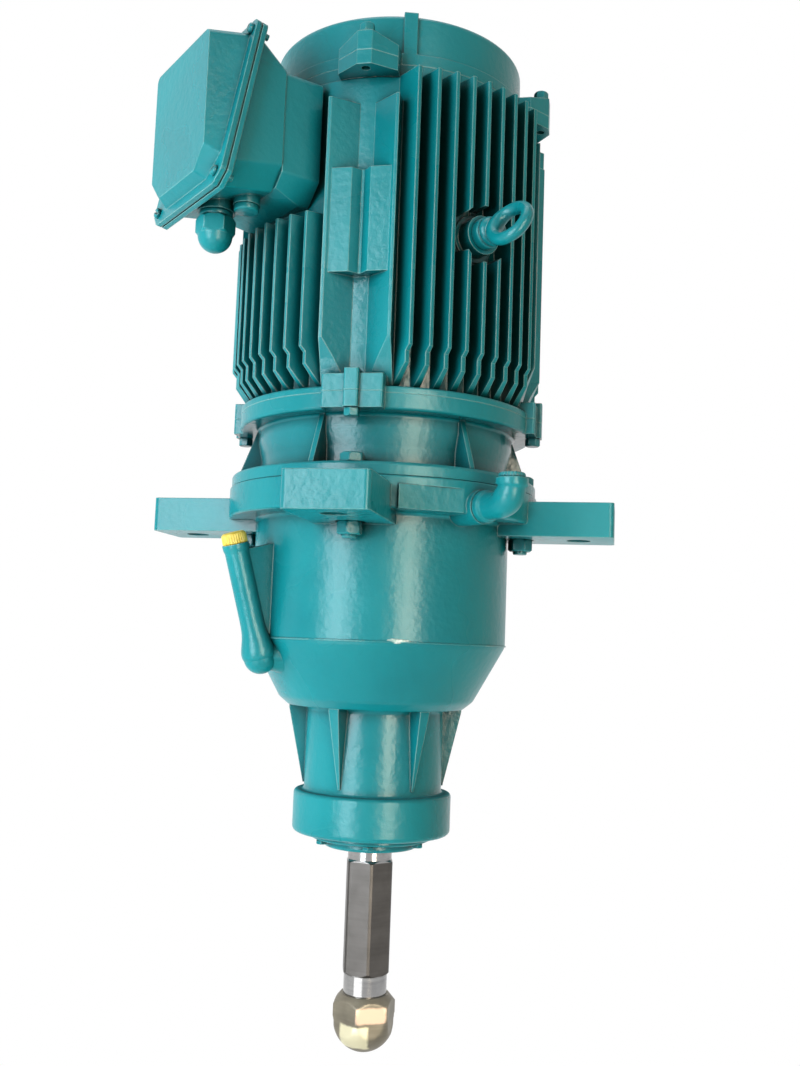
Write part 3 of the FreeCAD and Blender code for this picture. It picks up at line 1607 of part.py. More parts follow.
def main():
    os.makedirs("parts", exist_ok=True)
    write("gear_housing", gear_housing())
    write("ring_gear", ring_gear())
    write("ring_gear_dowels", dowels())
    write("ring_gear_retainer", retaining_ring())
    write("sun_gear", sun_gear())
    write("sun_gear_key", sun_key())
    write("sun_gear_washer", sun_washer())
    write("sun_gear_screw", sun_screw())
    for index in range(planet_count):
        write("planet_gear_" + str(index + 1), planet_gear(index))
    write("planet_pins", planet_pins())
    write("planet_bushes", planet_bushes())
    write("planet_thrust_washers", thrust_washers())
    write("planet_carrier", planet_carrier())
    write("carrier_bolts", carrier_bolts())
    write("output_shaft", output_shaft())
    write("output_bearing_inner_rings", on_output_bearings("inner"))
    write("output_bearing_outer_rings", on_output_bearings("outer"))
    write("output_bearing_rollers", on_output_bearings("rollers"))
    write("bearing_spacer", bearing_spacer())
    write("bearing_lock_nut", bearing_lock_nut())
    write("seal_cover", seal_cover())
    write("seal_cover_bolts", cover_bolts())
    write("output_oil_seal", output_oil_seal())
    write("cap_nut", cap_nut())
    write("drive_end_shield", drive_end_shield())
    write("flange_bolts", flange_bolts())
    write("flange_nuts", flange_nuts())
    write("drive_shield_bolts", lower_shield_bolts())
    write("top_shield_bolts", upper_shield_bolts())
    write("motor_frame", motor_frame())
    write("top_end_shield", top_end_shield())
    write("stator_core", stator_core())
    write("stator_windings", stator_windings())
    write("rotor_core", rotor_core())
    write("rotor_end_rings", rotor_end_rings())
    write("rotor_shaft", rotor_shaft())
    write("motor_bearing_inner_rings", on_ball_bearings(inner_ball_ring))
    write("motor_bearing_outer_rings", on_ball_bearings(outer_ball_ring))
    write("motor_bearing_ball_sets", on_ball_bearings(ball_set))
    write("bearing_spring_ring", spring_ring())
    write("motor_shaft_seal", motor_shaft_seal())
    write("lifting_eyebolt", lifting_eyebolt())
    write("terminal_box_base", terminal_box_base())
    write("terminal_box_lid", terminal_box_lid())
    write("terminal_box_gasket", lid_gasket())
    write("terminal_box_lid_screws", lid_screws())
    write("terminal_box_base_screws", base_screws())
    write("terminal_board", terminal_board())
    write("terminal_studs", terminal_studs())
    write("cable_gland_body", cable_gland_body())
    write("cable_gland_cap", cable_gland_cap())
    write("entry_blanking_plug", entry_plug())
    write("oil_elbow", elbow_fitting())
    write("breather_plug", breather_plug())
    write("oil_filler_plug", oil_filler_plug())
    write("oil_drain_plug", drain_plug())


main()
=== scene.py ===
import json
import math

import bmesh
import bpy
import numpy as np
from mathutils import Matrix


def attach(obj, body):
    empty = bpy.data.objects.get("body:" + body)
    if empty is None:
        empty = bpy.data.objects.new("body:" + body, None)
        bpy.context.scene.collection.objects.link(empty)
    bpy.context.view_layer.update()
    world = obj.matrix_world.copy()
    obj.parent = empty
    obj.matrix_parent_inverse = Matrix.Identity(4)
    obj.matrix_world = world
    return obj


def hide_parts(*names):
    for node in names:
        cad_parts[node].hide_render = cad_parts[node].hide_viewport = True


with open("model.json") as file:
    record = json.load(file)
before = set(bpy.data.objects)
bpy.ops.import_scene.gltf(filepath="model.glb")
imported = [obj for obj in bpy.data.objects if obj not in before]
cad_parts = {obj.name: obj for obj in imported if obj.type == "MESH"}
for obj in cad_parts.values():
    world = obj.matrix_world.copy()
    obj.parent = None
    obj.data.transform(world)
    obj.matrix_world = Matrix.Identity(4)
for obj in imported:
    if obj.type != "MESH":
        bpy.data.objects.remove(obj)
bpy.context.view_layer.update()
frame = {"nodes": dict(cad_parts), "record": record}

nodes = frame["nodes"]
print("frame loaded:", len(nodes), "nodes")


# Colours and nodes

def linearColour(hexColour):
    # sRGB hex to linear: each channel over 255, then the sRGB curve undone
    channels = [int(hexColour[i:i + 2], 16) / 255 for i in (1, 3, 5)]
    linear = [c / 12.92 if c <= 0.04045 else ((c + 0.055) / 1.055) ** 2.4 for c in channels]
    return (*linear, 1.0)


def setNode(tree, node, settings=None, links=None):
    # a setting named for an input goes to that socket and any other to the node; then the links follow
    for name, value in (settings or {}).items():
        if isinstance(name, int) or name in node.inputs:
            node.inputs[name].default_value = value
        else:
            setattr(node, name, value)
    for name, source in (links or {}).items():
        tree.links.new(source, node.inputs[name])
    return node


def addNode(tree, kind, settings=None, links=None):
    # one node with its settings and the sockets that feed it
    return setNode(tree, tree.nodes.new(kind), settings, links)


def newMaterial(name):
    # a material with one shader on its surface, and the place in metres where its patterns are read
    material = bpy.data.materials.new(name)
    material.use_nodes = True
    tree = material.node_tree
    tree.nodes.clear()
    output = tree.nodes.new("ShaderNodeOutputMaterial")
    shader = tree.nodes.new("ShaderNodeBsdfPrincipled")
    tree.links.new(shader.outputs[0], output.inputs[0])
    return material, tree, shader, addNode(tree, "ShaderNodeTexCoord").outputs["Object"]


def colourRamp(tree, source, positions, colours):
    # the colour runs straight from one position to the next
    ramp = addNode(tree, "ShaderNodeValToRGB", links={0: source})
    elements = ramp.color_ramp.elements
    while len(elements) < len(positions):
        elements.new(0.5)
    for element, position, colour in zip(elements, positions, colours):
        element.position = position
        element.color = linearColour(colour)
    return ramp.outputs[0]


def noise(tree, place, scale, detail):
    # soft random cells, about scale of them to the metre
    return addNode(tree, "ShaderNodeTexNoise", {"Scale": scale, "Detail": detail}, {"Vector": place})


def mapped(tree, source, fromEnds, toEnds=(0.0, 1.0)):
    # straight from the one pair of ends to the other, and held beyond them
    ends = dict(zip(("From Min", "From Max", "To Min", "To Max"), (*fromEnds, *toEnds)))
    return addNode(tree, "ShaderNodeMapRange", ends, {"Value": source}).outputs[0]


def combine(tree, operation, first, second):
    # one number from two, by the named operation
    return addNode(tree, "ShaderNodeMath", {"operation": operation}, {0: first, 1: second}).outputs[0]


def tinted(tree, share, shade, colour):
    # (1 - share) shade + share colour
    return addNode(tree, "ShaderNodeMix", {"data_type": "RGBA", 7: linearColour(colour)},
                   {0: share, 6: shade}).outputs[2]


def roundedNormal(tree, samples, radius):
    # the normal as if every edge were rounded by this radius
    return addNode(tree, "ShaderNodeBevel", {"samples": samples, "Radius": radius}).outputs[0]


def bumped(tree, relief, strength, height, normal=None):
    # the normal tilted by the slope of relief x height, by the share that strength gives
    links = {"Height": relief} if normal is None else {"Height": relief, "Normal": normal}
    return addNode(tree, "ShaderNodeBump", {"Strength": strength, "Distance": height}, links).outputs[0]


# Machinery enamel: alkyd paint sprayed on a sand casting, so it is semi-gloss with a faint orange peel

tealEnamel = {
    "base": "#0b8993",
    "light": "#17949e",
    "deep": "#077d88",
    "cloudSize": 0.16,               # metres across a patch of thinner paint
    "cloudStops": (0.30, 0.50, 0.78),
    "roughness": 0.26,
    "glossStops": (0.3, 0.7),
    "cloudGloss": (-0.05, 0.12),     # roughness added, from the smoothest patch to the roughest
    "specularLevel": 0.26,
    "edge": "#a3d4d0",               # paint drawn thin over an edge, and lighter there as a painted highlight
    "edgeRadius": 0.0017,
    "edgeBend": (0.985, 0.80),       # cosine of the bend where the thinning starts and where it is full
    "edgeShare": 0.72,
    "paintedCreviceShade": "#022c2c",            # painted shade deep between the fins
    "creviceReach": 0.030,
    "creviceOpen": (0.72, 0.20),     # open share of the sky where the tone starts and where it is full
    "hollow": "#054b51",             # painted shade, broader, in hollows such as the neck under the motor
    "hollowReach": 0.11,
    "hollowOpen": (0.80, 0.30),
    "shadeShare": 0.90,              # of either painted shade at its fullest
    "pooledGloss": -0.16,            # paint gathers in hollows and dries glossier there
    "dustFrom": (0.55, 0.95),        # how far up a face looks where dust starts to lie and where it is full
    "dustRoughness": 0.95,
    "castLumpSize": 0.007,           # sand casting lumps
    "castLump": (0.38, 0.0011),      # strength and height of the bump
    "peelSize": 0.0018,              # orange peel, drawn a little coarser than life so that it shows
    "peel": (0.10, 0.0003),
}


def shadedShare(tree, samples, reach, openness, share):
    # from 0 where the sky is open to the full share where little of it is, within reach of the surface
    sky = addNode(tree, "ShaderNodeAmbientOcclusion", {"samples": samples, "Distance": reach})
    return mapped(tree, sky.outputs["AO"], openness, (0.0, share))


def makeEnamel(name, values):
    # clouded colour, then the edge tone (thin paint and painted highlight) and the painted shade of hollows and
    # crevices over it, and two bumps on a rounded normal
    material, tree, shader, place = newMaterial(name)
    cloud = noise(tree, place, 1 / values["cloudSize"], 3.0).outputs["Fac"]
    shade = colourRamp(tree, cloud, values["cloudStops"], (values["deep"], values["base"], values["light"]))

    # an edge is where the rounded normal leaves the true one
    normal = roundedNormal(tree, 6, values["edgeRadius"])
    trueNormal = addNode(tree, "ShaderNodeNewGeometry").outputs["Normal"]
    along = addNode(tree, "ShaderNodeVectorMath", {"operation": "DOT_PRODUCT"}, {0: normal, 1: trueNormal})
    # the lighter edge is partly thin paint and partly a painted highlight
    edge = mapped(tree, along.outputs["Value"], values["edgeBend"], (0.0, values["edgeShare"]))
    # painted shade: the colour darkens between the fins, where little of the sky is open within a short reach
    paintedCreviceShade = shadedShare(tree, 8, values["creviceReach"], values["creviceOpen"], values["shadeShare"])
    # painted shade over the broader hollows; the same share also makes the paint glossier there
    hollow = shadedShare(tree, 6, values["hollowReach"], values["hollowOpen"], values["shadeShare"])
    # the painted highlight on edges, then the painted shade of hollows and crevices, go over the clouded colour
    for tone, share in (("edge", edge), ("hollow", hollow), ("paintedCreviceShade", paintedCreviceShade)):
        shade = tinted(tree, share, shade, values[tone])
    for label, detail in (("castLump", 2.0), ("peel", 1.0)):
        grain = noise(tree, place, 1 / values[label + "Size"], detail)
        normal = bumped(tree, grain.outputs["Fac"], *values[label], normal)

    # roughness: the clouds, less the pooled share in hollows, and dust on the faces that look up
    ends = [values["roughness"] + change for change in values["cloudGloss"]]
    gloss = mapped(tree, cloud, values["glossStops"], ends)
    pooled = addNode(tree, "ShaderNodeMath", {"operation": "MULTIPLY_ADD", 1: values["pooledGloss"]},
                     {0: hollow, 2: gloss})
    upward = addNode(tree, "ShaderNodeSeparateXYZ", links={0: trueNormal}).outputs["Z"]
    matt = addNode(tree, "ShaderNodeMix", {"data_type": "FLOAT", 3: values["dustRoughness"]},
                   {0: mapped(tree, upward, values["dustFrom"]), 2: pooled.outputs[0]})
    setNode(tree, shader, {"IOR": 1.5, "Specular IOR Level": values["specularLevel"]},
            {"Base Color": shade, "Normal": normal, "Roughness": matt.outputs[0]})
    return material


# Bare and coated metals; grain is the width of a tool mark in metres

metals = {
    # bright, with fine rings from the wheel
    "ground steel": {"base": "#c4c6c9", "deep": "#a4a7ab", "roughness": 0.20, "grain": 0.0006},
    # greyer, and dulled by oil on the cutter marks
    "hobbed gear steel": {"base": "#8a8987", "deep": "#6d6b69", "roughness": 0.32, "grain": 0.0008},
    # nearly black, with a soft sheen
    "blackened steel": {"base": "#2b2b2d", "deep": "#1d1d1f", "roughness": 0.45, "grain": 0.0010},
    # warm yellow brown
    "bearing bronze": {"base": "#b98d4f", "deep": "#96703b", "roughness": 0.30, "grain": 0.0009},
    # dark grey and grainy, because the graphite breaks out
    "machined cast iron": {"base": "#5a5a5c", "deep": "#434345", "roughness": 0.40, "grain": 0.0010},
    # the sheets' rims show as rings
    "stacked core sheets": {"base": "#6b6c70", "deep": "#4b4c50", "roughness": 0.45, "grain": 0.0012},
    # copper under amber varnish
    "varnished copper wire": {"base": "#b5673a", "deep": "#7f4022", "roughness": 0.34, "grain": 0.0016},
    # pale and satin
    "die cast aluminium": {"base": "#b5b6ba", "deep": "#8f9094", "roughness": 0.34, "grain": 0.0012},
}
metalPattern = {
    "stretch": (0.06, 0.06, 1.0),    # marks run long round the shaft and short along it
    "blotchScale": 45.0,             # faint stains about 22 mm across
    "blotchShare": 0.7,
    "stops": (0.32, 0.66),
    "bump": (0.06, 0.0002),          # strength, and height in metres
}


def metalShade(tree, values, place):
    # two tones in fine rings round the shaft, as a lathe leaves them, mixed with the blotches
    stretched = addNode(tree, "ShaderNodeMapping", {"Scale": metalPattern["stretch"]}, {"Vector": place})
    grain = noise(tree, stretched.outputs[0], 1 / values["grain"], 2.0).outputs["Fac"]
    blotch = noise(tree, place, metalPattern["blotchScale"], 3.0).outputs["Fac"]
    mixed = addNode(tree, "ShaderNodeMix", {"data_type": "FLOAT", 0: metalPattern["blotchShare"]},
                    {2: grain, 3: blotch})
    return grain, colourRamp(tree, mixed.outputs[0], metalPattern["stops"], (values["deep"], values["base"]))


def makeMetal(name, values):
    # the two ringed tones, with a bump from the same rings
    material, tree, shader, place = newMaterial(name)
    grain, shade = metalShade(tree, values, place)
    setNode(tree, shader, {"Metallic": 1.0, "Roughness": values["roughness"]},
            {"Base Color": shade, "Normal": bumped(tree, grain, *metalPattern["bump"])})
    return material


def between(tree, source, low, high, soft):
    # 1 where low < source < high, falling to 0 over a soft length
    rise = mapped(tree, source, (low - soft, low + soft))
    fall = mapped(tree, source, (high + soft, high - soft))
    return combine(tree, "MULTIPLY", rise, fall)


# Output shaft: bright ground journals, and a dry dark film on the hexagonal length between them

shaftFinish = {
    "film": {"base": "#575553", "deep": "#4a4846", "roughness": 0.40, "grain": 0.0030},
    "bright": {"base": "#a9a9a8", "deep": "#858586", "roughness": 0.15, "grain": 0.0016},
    "filmTop": -0.3240,       # metres
    "filmFoot": -0.4325,
    "filmSoft": 0.0004,
    "edgeRadius": 0.0010,
    "bump": (0.05, 0.0002),
    "metallic": 0.92,         # a little of the film's oil shows as a plain gloss
}


def makeShaftSteel(name, values):
    # bright and dark tones and roughnesses, parted by the film's two heights
    material, tree, shader, place = newMaterial(name)
    height = addNode(tree, "ShaderNodeSeparateXYZ", links={0: place}).outputs["Z"]
    film = between(tree, height, values["filmFoot"], values["filmTop"], values["filmSoft"])
    grain, bright = metalShade(tree, values["bright"], place)
    dark = metalShade(tree, values["film"], place)[1]
    shade = addNode(tree, "ShaderNodeMix", {"data_type": "RGBA"}, {0: film, 6: bright, 7: dark})
    gloss = mapped(tree, film, (0.0, 1.0), (values["bright"]["roughness"], values["film"]["roughness"]))
    normal = bumped(tree, grain, *values["bump"], roundedNormal(tree, 4, values["edgeRadius"]))
    setNode(tree, shader, {"Metallic": values["metallic"]},
            {"Base Color": shade.outputs[2], "Roughness": gloss, "Normal": normal})
    return material


# Cap nut: olive grey cast bronze, with a painted highlight on one flat and on the dome, on the front only

capFinish = {
    "tone": {"base": "#857f70", "deep": "#666256", "roughness": 0.42, "grain": 0.0030},
    # painted highlights, on one flat and on the dome
    "flatPaintedHighlight": "#cdb19c",
    "domePaintedHighlight": "#d6d1b2",
    "flatAcross": (-0.0010, 0.0255),    # metres along X, from the axis
    "flatHeight": (-0.4745, -0.4600),
    "domeAcross": (-0.0190, 0.0100),
    "domeHeight": (-0.5000, -0.4775),
    "soft": (0.0012, 0.0010),           # of a patch's sides, and of its top and foot
    "ragged": 0.0035,
    "skinScale": 110.0,                 # casting skin, lumps about 9 mm across
    "edgeRadius": 0.0015,
    "bump": (0.12, 0.0004),
    "metallic": 0.65,                   # tarnish covers about a third
}


def makeCapBronze(name, values):
    # a painted highlight patch is across x height x front, read at places that a noise shifts so that its rim is
    # ragged
    material, tree, shader, place = newMaterial(name)
    skin = noise(tree, place, values["skinScale"], 3.0)
    shifted = addNode(tree, "ShaderNodeVectorMath", {"operation": "MULTIPLY_ADD", 1: (values["ragged"],) * 3},
                      {0: skin.outputs["Color"], 2: place})
    axes = addNode(tree, "ShaderNodeSeparateXYZ", links={0: shifted.outputs[0]})
    front = addNode(tree, "ShaderNodeMath", {"operation": "LESS_THAN", 1: 0.0}, {0: axes.outputs["Y"]})
    shade = metalShade(tree, values["tone"], place)[1]
    meanShift = values["ragged"] / 2
    for label in ("flat", "dome"):
        patch = front.outputs[0]
        for axis, extent, soft in (("X", "Across", values["soft"][0]), ("Z", "Height", values["soft"][1])):
            low, high = (side + meanShift for side in values[label + extent])
            band = between(tree, axes.outputs[axis], low, high, soft)
            patch = combine(tree, "MULTIPLY", patch, band)
        # inside each patch the bronze gives way to a painted highlight
        shade = tinted(tree, patch, shade, values[label + "PaintedHighlight"])
    normal = bumped(tree, skin.outputs["Fac"], *values["bump"], roundedNormal(tree, 4, values["edgeRadius"]))
    setNode(tree, shader, {"Metallic": values["metallic"], "Roughness": values["tone"]["roughness"]},
            {"Base Color": shade, "Normal": normal})
    return material


# Plastics, rubber and bare primer; grain is the size of a speck in metres

plastics = {
    # chalky and pale where paint is knocked off, and pale also as a painted highlight
    "knocked primer and painted highlight": {"base": "#7fb0ad", "light": "#d6e2de", "roughness": 0.30, "grain": 0.0030},
    # black and matt
    "nitrile rubber": {"base": "#161616", "light": "#232323", "roughness": 0.62, "grain": 0.0012},
    # waxy, with paler scuffs on the moulding
    "yellow polypropylene": {"base": "#d8bb2e", "light": "#e6d266", "roughness": 0.38, "grain": 0.0060},
    # brown black, pressed from resin and paper
    "phenolic board": {"base": "#2a211b", "light": "#3a2e26", "roughness": 0.45, "grain": 0.0020},
}
plasticPattern = {"stops": (0.35, 0.7), "bump": (0.15, 0.0002)}


def makePlastic(name, values):
    # two tones and a low bump from one speckle
    material, tree, shader, place = newMaterial(name)
    speckle = noise(tree, place, 1 / values["grain"], 3.0).outputs["Fac"]
    shade = colourRamp(tree, speckle, plasticPattern["stops"], (values["base"], values["light"]))
    setNode(tree, shader, {"Roughness": values["roughness"]},
            {"Base Color": shade, "Normal": bumped(tree, speckle, *plasticPattern["bump"])})
    return material


gasketPaint = {"base": "#0b5156", "light": "#0f5d62", "deep": "#083f43", "roughness": 0.55}

finish = {name: makeMetal(name, values) for name, values in metals.items()}
finish.update({name: makePlastic(name, values) for name, values in plastics.items()})
finish["teal enamel"] = makeEnamel("teal machinery enamel", tealEnamel)
finish["painted over gasket"] = makeEnamel("painted over gasket", {**tealEnamel, **gasketPaint})
finish["dark film on turned steel"] = makeShaftSteel("dark film on turned steel", shaftFinish)
finish["aged cast bronze"] = makeCapBronze("aged cast bronze", capFinish)

slotFinish = {
    "teal_paint": "teal enamel",
    "yellow_plastic": "yellow polypropylene",
    "gear_steel": "hobbed gear steel",
    "ground_steel": "ground steel",
    "black_steel": "blackened steel",
    "dark_steel": "dark film on turned steel",
    "aged_bronze": "aged cast bronze",
    "bronze": "bearing bronze",
    "cast_iron": "machined cast iron",
    "lamination_steel": "stacked core sheets",
    "copper": "varnished copper wire",
    "cast_aluminium": "die cast aluminium",
    "seal_rubber": "nitrile rubber",
    "dark_plastic": "phenolic board",
}


def dress(node, material):
    # the node's mesh wears this one material
    mesh = nodes[node].data
    mesh.materials.clear()
    mesh.materials.append(material)


for part in frame["record"]["subparts"]:
    dress(part["node"], finish[slotFinish[part["material_slot"]]])
dress("terminal_box_gasket", finish["painted over gasket"])     # the paint runs over its edge


# Shapes: a piece is made of grids of points, rows x columns x 3, in millimetres until it becomes a mesh

def meshFromGrids(name, grids, closed=True):
    # four-sided faces join the neighbouring points of each grid, whose columns run round if closed
    points, faces, first = [], [], 0
    for grid in grids:
        rows, columns = grid.shape[:2]
        index = first + np.arange(rows * columns).reshape(rows, columns)
        if closed:
            index = np.concatenate([index, index[:, :1]], axis=1)
        quads = np.stack([index[:-1, :-1], index[:-1, 1:], index[1:, 1:], index[1:, :-1]], axis=-1)
        faces.append(quads.reshape(-1, 4))
        points.append(grid.reshape(-1, 3) * 0.001)
        first += rows * columns
    points, faces = np.concatenate(points), np.concatenate(faces)
    mesh = bpy.data.meshes.new(name)
    mesh.vertices.add(len(points))
    mesh.vertices.foreach_set("co", points.reshape(-1).astype(np.float32))
    mesh.loops.add(faces.size)
    mesh.loops.foreach_set("vertex_index", faces.reshape(-1))
    mesh.polygons.add(len(faces))
    mesh.polygons.foreach_set("loop_start", np.arange(0, faces.size, 4))
    mesh.update(calc_edges=True)
    # the points that meet at a pole become one
    whole = bmesh.new()
    whole.from_mesh(mesh)
    bmesh.ops.remove_doubles(whole, verts=whole.verts, dist=1e-6)
    whole.to_mesh(mesh)
    whole.free()
    mesh.validate()
    return mesh


def showObject(name, mesh, material):
    # the mesh in the scene, at the origin, in its material
    thing = bpy.data.objects.new(name, mesh)
    bpy.context.scene.collection.objects.link(thing)
    mesh.materials.append(material)
    return thing


bodyOf = {node: body for body, members in frame["record"]["behaviour"]["bodies"].items() for node in members}
slotOf = {part["node"]: part["material_slot"] for part in frame["record"]["subparts"]}


def addPiece(name, grids, on, stands=True, material=None, crease=34):
    # a piece on the node called on, which it stands for if stands is true
    # edges that turn by more than crease degrees stay sharp
    mesh = meshFromGrids(name, grids)
    mesh.polygons.foreach_set("use_smooth", np.ones(len(mesh.polygons), dtype=bool))
    mesh.set_sharp_from_angle(angle=math.radians(crease))
    piece = showObject(name, mesh, material or finish[slotFinish[slotOf[on]]])
    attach(piece, bodyOf[on])
    if stands:
        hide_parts(on)


def roundedProfile(corners, steps=4):
    # corners are (radius, height, rounding); a rounded corner gives way to the curve
    # (1 - t)^2 start + 2 t (1 - t) corner + t^2 stop, whose ends lie one rounding away along its two sides
    points = [np.array(corner[:2], dtype=float) for corner in corners]
    rows = [points[0]]
    for before, corner, after, values in zip(points, points[1:], points[2:], corners[1:]):
        reach = values[2] if len(values) > 2 else 0
        if reach == 0:
            rows.append(corner)
            continue
        start = corner + (before - corner) * min(reach / np.linalg.norm(before - corner), 0.5)
        stop = corner + (after - corner) * min(reach / np.linalg.norm(after - corner), 0.5)
        t = np.linspace(0, 1, steps)[:, None]
        rows.extend((1 - t) ** 2 * start + 2 * t * (1 - t) * corner + t ** 2 * stop)
    rows.append(points[-1])
    return np.array(rows)


def turnedGrid(profile, columns=48, flats=None, ripple=None):
    # radius and height carried round the axis from the low end to the high end
    # flats cuts each row back to a hexagon: its radius is flats / 2 / cos(angle from the middle of the side)
    # ripple is (count, depth, least radius): rows wider than the least radius get count shallow grooves
    profile = np.array(profile, dtype=float)
    angle = np.arange(columns) * 2 * np.pi / columns
    radius = np.repeat(profile[:, :1], columns, axis=1)
    if flats:
        side = (angle + np.pi / 6) % (np.pi / 3) - np.pi / 6
        radius = np.minimum(radius, flats / 2 / np.cos(side))
    if ripple:
        count, depth, least = ripple
        radius = radius - depth * (0.5 + 0.5 * np.cos(count * angle)) ** 2 * (radius > least)
    height = np.repeat(profile[:, 1:2], columns, axis=1)
    return np.stack([radius * np.cos(angle), radius * np.sin(angle), height], axis=-1)


def outward(azimuth):
    # (sin, -cos, 0): the front is -Y, and the azimuth turns towards +X
    angle = math.radians(azimuth)
    return np.array([math.sin(angle), -math.cos(angle), 0.0])


def upTo(height):
    # (0, 0, height): straight up, or a point on the shaft axis
    return np.array([0.0, 0.0, height])


def stand(grid, origin, axis=(0, 0, 1), side=(1, 0, 0)):
    # local X, Y and Z go to side, axis x side and axis
    axis, side = np.array(axis, dtype=float), np.array(side, dtype=float)
    return (np.array(origin) + grid[..., :1] * side + grid[..., 1:2] * np.cross(axis, side)
            + grid[..., 2:] * axis)


# Hexagon bolts: forged heads with a turned chamfer and a washer face, painted over with the castings

boltSets = {
    "flangeBolts": {"node": "flange_bolts", "flats": 21.0, "seat": 54.5, "head": 8.8, "radius": 7.0,
                    "end": -15.0, "circle": 142.0, "count": 4, "first": 0.0, "up": True},
    "driveShieldBolts": {"node": "drive_shield_bolts", "flats": 13.0, "seat": 103.0, "head": 8.0, "radius": 4.0,
                         "end": 132.5, "circle": 152.0, "count": 4, "first": 0.0, "up": False},
    "topShieldBolts": {"node": "top_shield_bolts", "flats": 13.0, "seat": 460.0, "head": 8.2, "radius": 4.0,
                       "end": 429.0, "circle": 152.0, "count": 4, "first": 0.0, "up": True, "washer": 8.2},
    "sealCoverBolts": {"node": "seal_cover_bolts", "flats": 10.0, "seat": -302.0, "head": 4.0, "radius": 3.0,
                       "end": -284.0, "circle": 54.0, "count": 6, "first": 10.0, "up": False},
}
headValues = {
    "point": 0.8,             # chamfer at the end of the shank
    "washerFace": 0.96,       # shares of half the flats, as the next three
    "chamfer": 0.16,
    "crown": 0.94,
    "topFace": 0.90,
    "washerHeight": 0.4,
    "cornerShare": 0.995,     # of the corner radius
    "hexFoot": 0.5,
    "dish": 0.15,
    "washerThickness": 1.6,
}


def chamferRows(corner, flats, seat, top, chamfer, steps=6):
    # the hexagon's foot, then a cone from the corner to the crown, which leaves arcs on the flats
    crown = headValues["crown"] * flats / 2
    return [(corner, seat), *np.linspace((corner, top - chamfer), (crown, top), steps)]


def boltGrid(values):
    # along the bolt's own axis: shank with a chamfered point, washer face, chamfered hexagon, dished top
    length = abs(values["end"] - values["seat"])
    shank, half = values["radius"], values["flats"] / 2
    corner = values["flats"] / math.sqrt(3)
    point, washer = headValues["point"], headValues["washerHeight"]
    rows = [(0, -length), (shank - point, -length), (shank, -length + point), (shank, 0),
            (headValues["washerFace"] * half, 0), (headValues["washerFace"] * half, washer),
            (headValues["cornerShare"] * corner, washer)]
    rows += chamferRows(corner, values["flats"], headValues["hexFoot"], values["head"],
                        headValues["chamfer"] * half)
    rows += [(headValues["topFace"] * half, values["head"]), (0, values["head"] - headValues["dish"])]
    return turnedGrid(rows, 72, values["flats"])


def washerGrid(radius):
    # a flat disc with rounded rims
    thickness = headValues["washerThickness"]
    return turnedGrid(roundedProfile([(0, 0), (radius, 0, 0.2), (radius, thickness, 0.4), (0, thickness)]))


for name, values in boltSets.items():
    grids = []
    for k in range(values["count"]):
        away = outward(values["first"] + 360 / values["count"] * k)
        side = np.cross([0, 0, 1], away)
        axis = (0, 0, 1) if values["up"] else (0, 0, -1)
        seat = values["circle"] * away + upTo(values["seat"])
        if "washer" in values:
            grids.append(stand(washerGrid(values["washer"]), seat, axis, side))
            seat = seat + upTo(headValues["washerThickness"])
        grids.append(stand(boltGrid(values), seat, axis, side))
    addPiece(name, grids, values["node"])

nutValues = {"flats": 21.0, "foot": -12.0, "seat": 1.0, "circle": 142.0, "bore": 7.05, "chamfer": 1.7,
             "countersink": 1.0}


def nutGrid(values):
    # both faces chamfered, and the bore joined to them with a small countersink
    corner, thick = values["flats"] / math.sqrt(3), values["seat"] - values["foot"]
    bore, sink = values["bore"], values["countersink"]
    high = chamferRows(corner, values["flats"], thick / 2, thick, values["chamfer"])
    low = [(radius, thick - height) for radius, height in high[:0:-1]]
    rows = [(bore, thick / 2), (bore, sink), (bore + sink, 0.0), *low, *high,
            (bore + sink, thick), (bore, thick - sink), (bore, thick / 2)]
    return turnedGrid(rows, 72, values["flats"])


grids = []
for azimuth in (0, 90, 180, 270):
    away = outward(azimuth)
    grids.append(stand(nutGrid(nutValues), nutValues["circle"] * away + upTo(nutValues["foot"]),
                       side=np.cross([0, 0, 1], away)))
addPiece("flangeNuts", grids, "flange_nuts")

# Drain plug on the hidden side: a short bolt that lies level

drainValues = {"azimuth": 180.0, "height": -138.0, "reach": 124.37, "flats": 22.0, "seat": 0.0, "end": -18.0,
               "head": 9.0, "radius": 8.0}
drainOut = outward(drainValues["azimuth"])
drainPlace = drainValues["reach"] * drainOut + upTo(drainValues["height"])
addPiece("oilDrainPlug", [stand(boltGrid(drainValues), drainPlace, drainOut, (0, 0, 1))], "oil_drain_plug")
print("bolts, nuts and drain plug made")

# Lid screws: slotted pan heads on the sloped rim of the terminal box

boxValues = {"azimuth": -45.0, "topReach": 200.0, "topHeight": 455.5, "bottomReach": 231.0, "bottomHeight": 293.0,
             "halfWidth": 78.0, "seat": 6.5}
screwValues = {"headRadius": 5.0, "headHeight": 4.0, "shankRadius": 3.0, "shank": 17.0, "slotHalf": 0.9,
               "slotDepth": 1.6, "underRound": 0.5, "topRound": 2.2, "topRows": 10,
               "lowInset": 12.5, "lowTurn": 0.5, "topInset": 9.0, "topTurn": 1.4}


def screwGrid(values):
    # a pan head; inside the slot's half width the top drops by the slot's depth
    shank, top, floor = values["shankRadius"], values["headHeight"], values["headHeight"] - values["slotDepth"]
    head = roundedProfile([(shank, 0), (values["headRadius"], 0, values["underRound"]),
                           (values["headRadius"], top, values["topRound"]), (0, top)], 6)[:-1]
    fine = np.linspace(head[-1], (0, top), values["topRows"])[1:]
    grid = turnedGrid([(0, -values["shank"]), (shank, -values["shank"]), (shank, 0), *head, *fine], 64)
    inSlot = (np.abs(grid[..., 1]) < values["slotHalf"]) & (grid[..., 2] > floor)
    grid[..., 2] = np.where(inSlot, floor, grid[..., 2])
    return grid


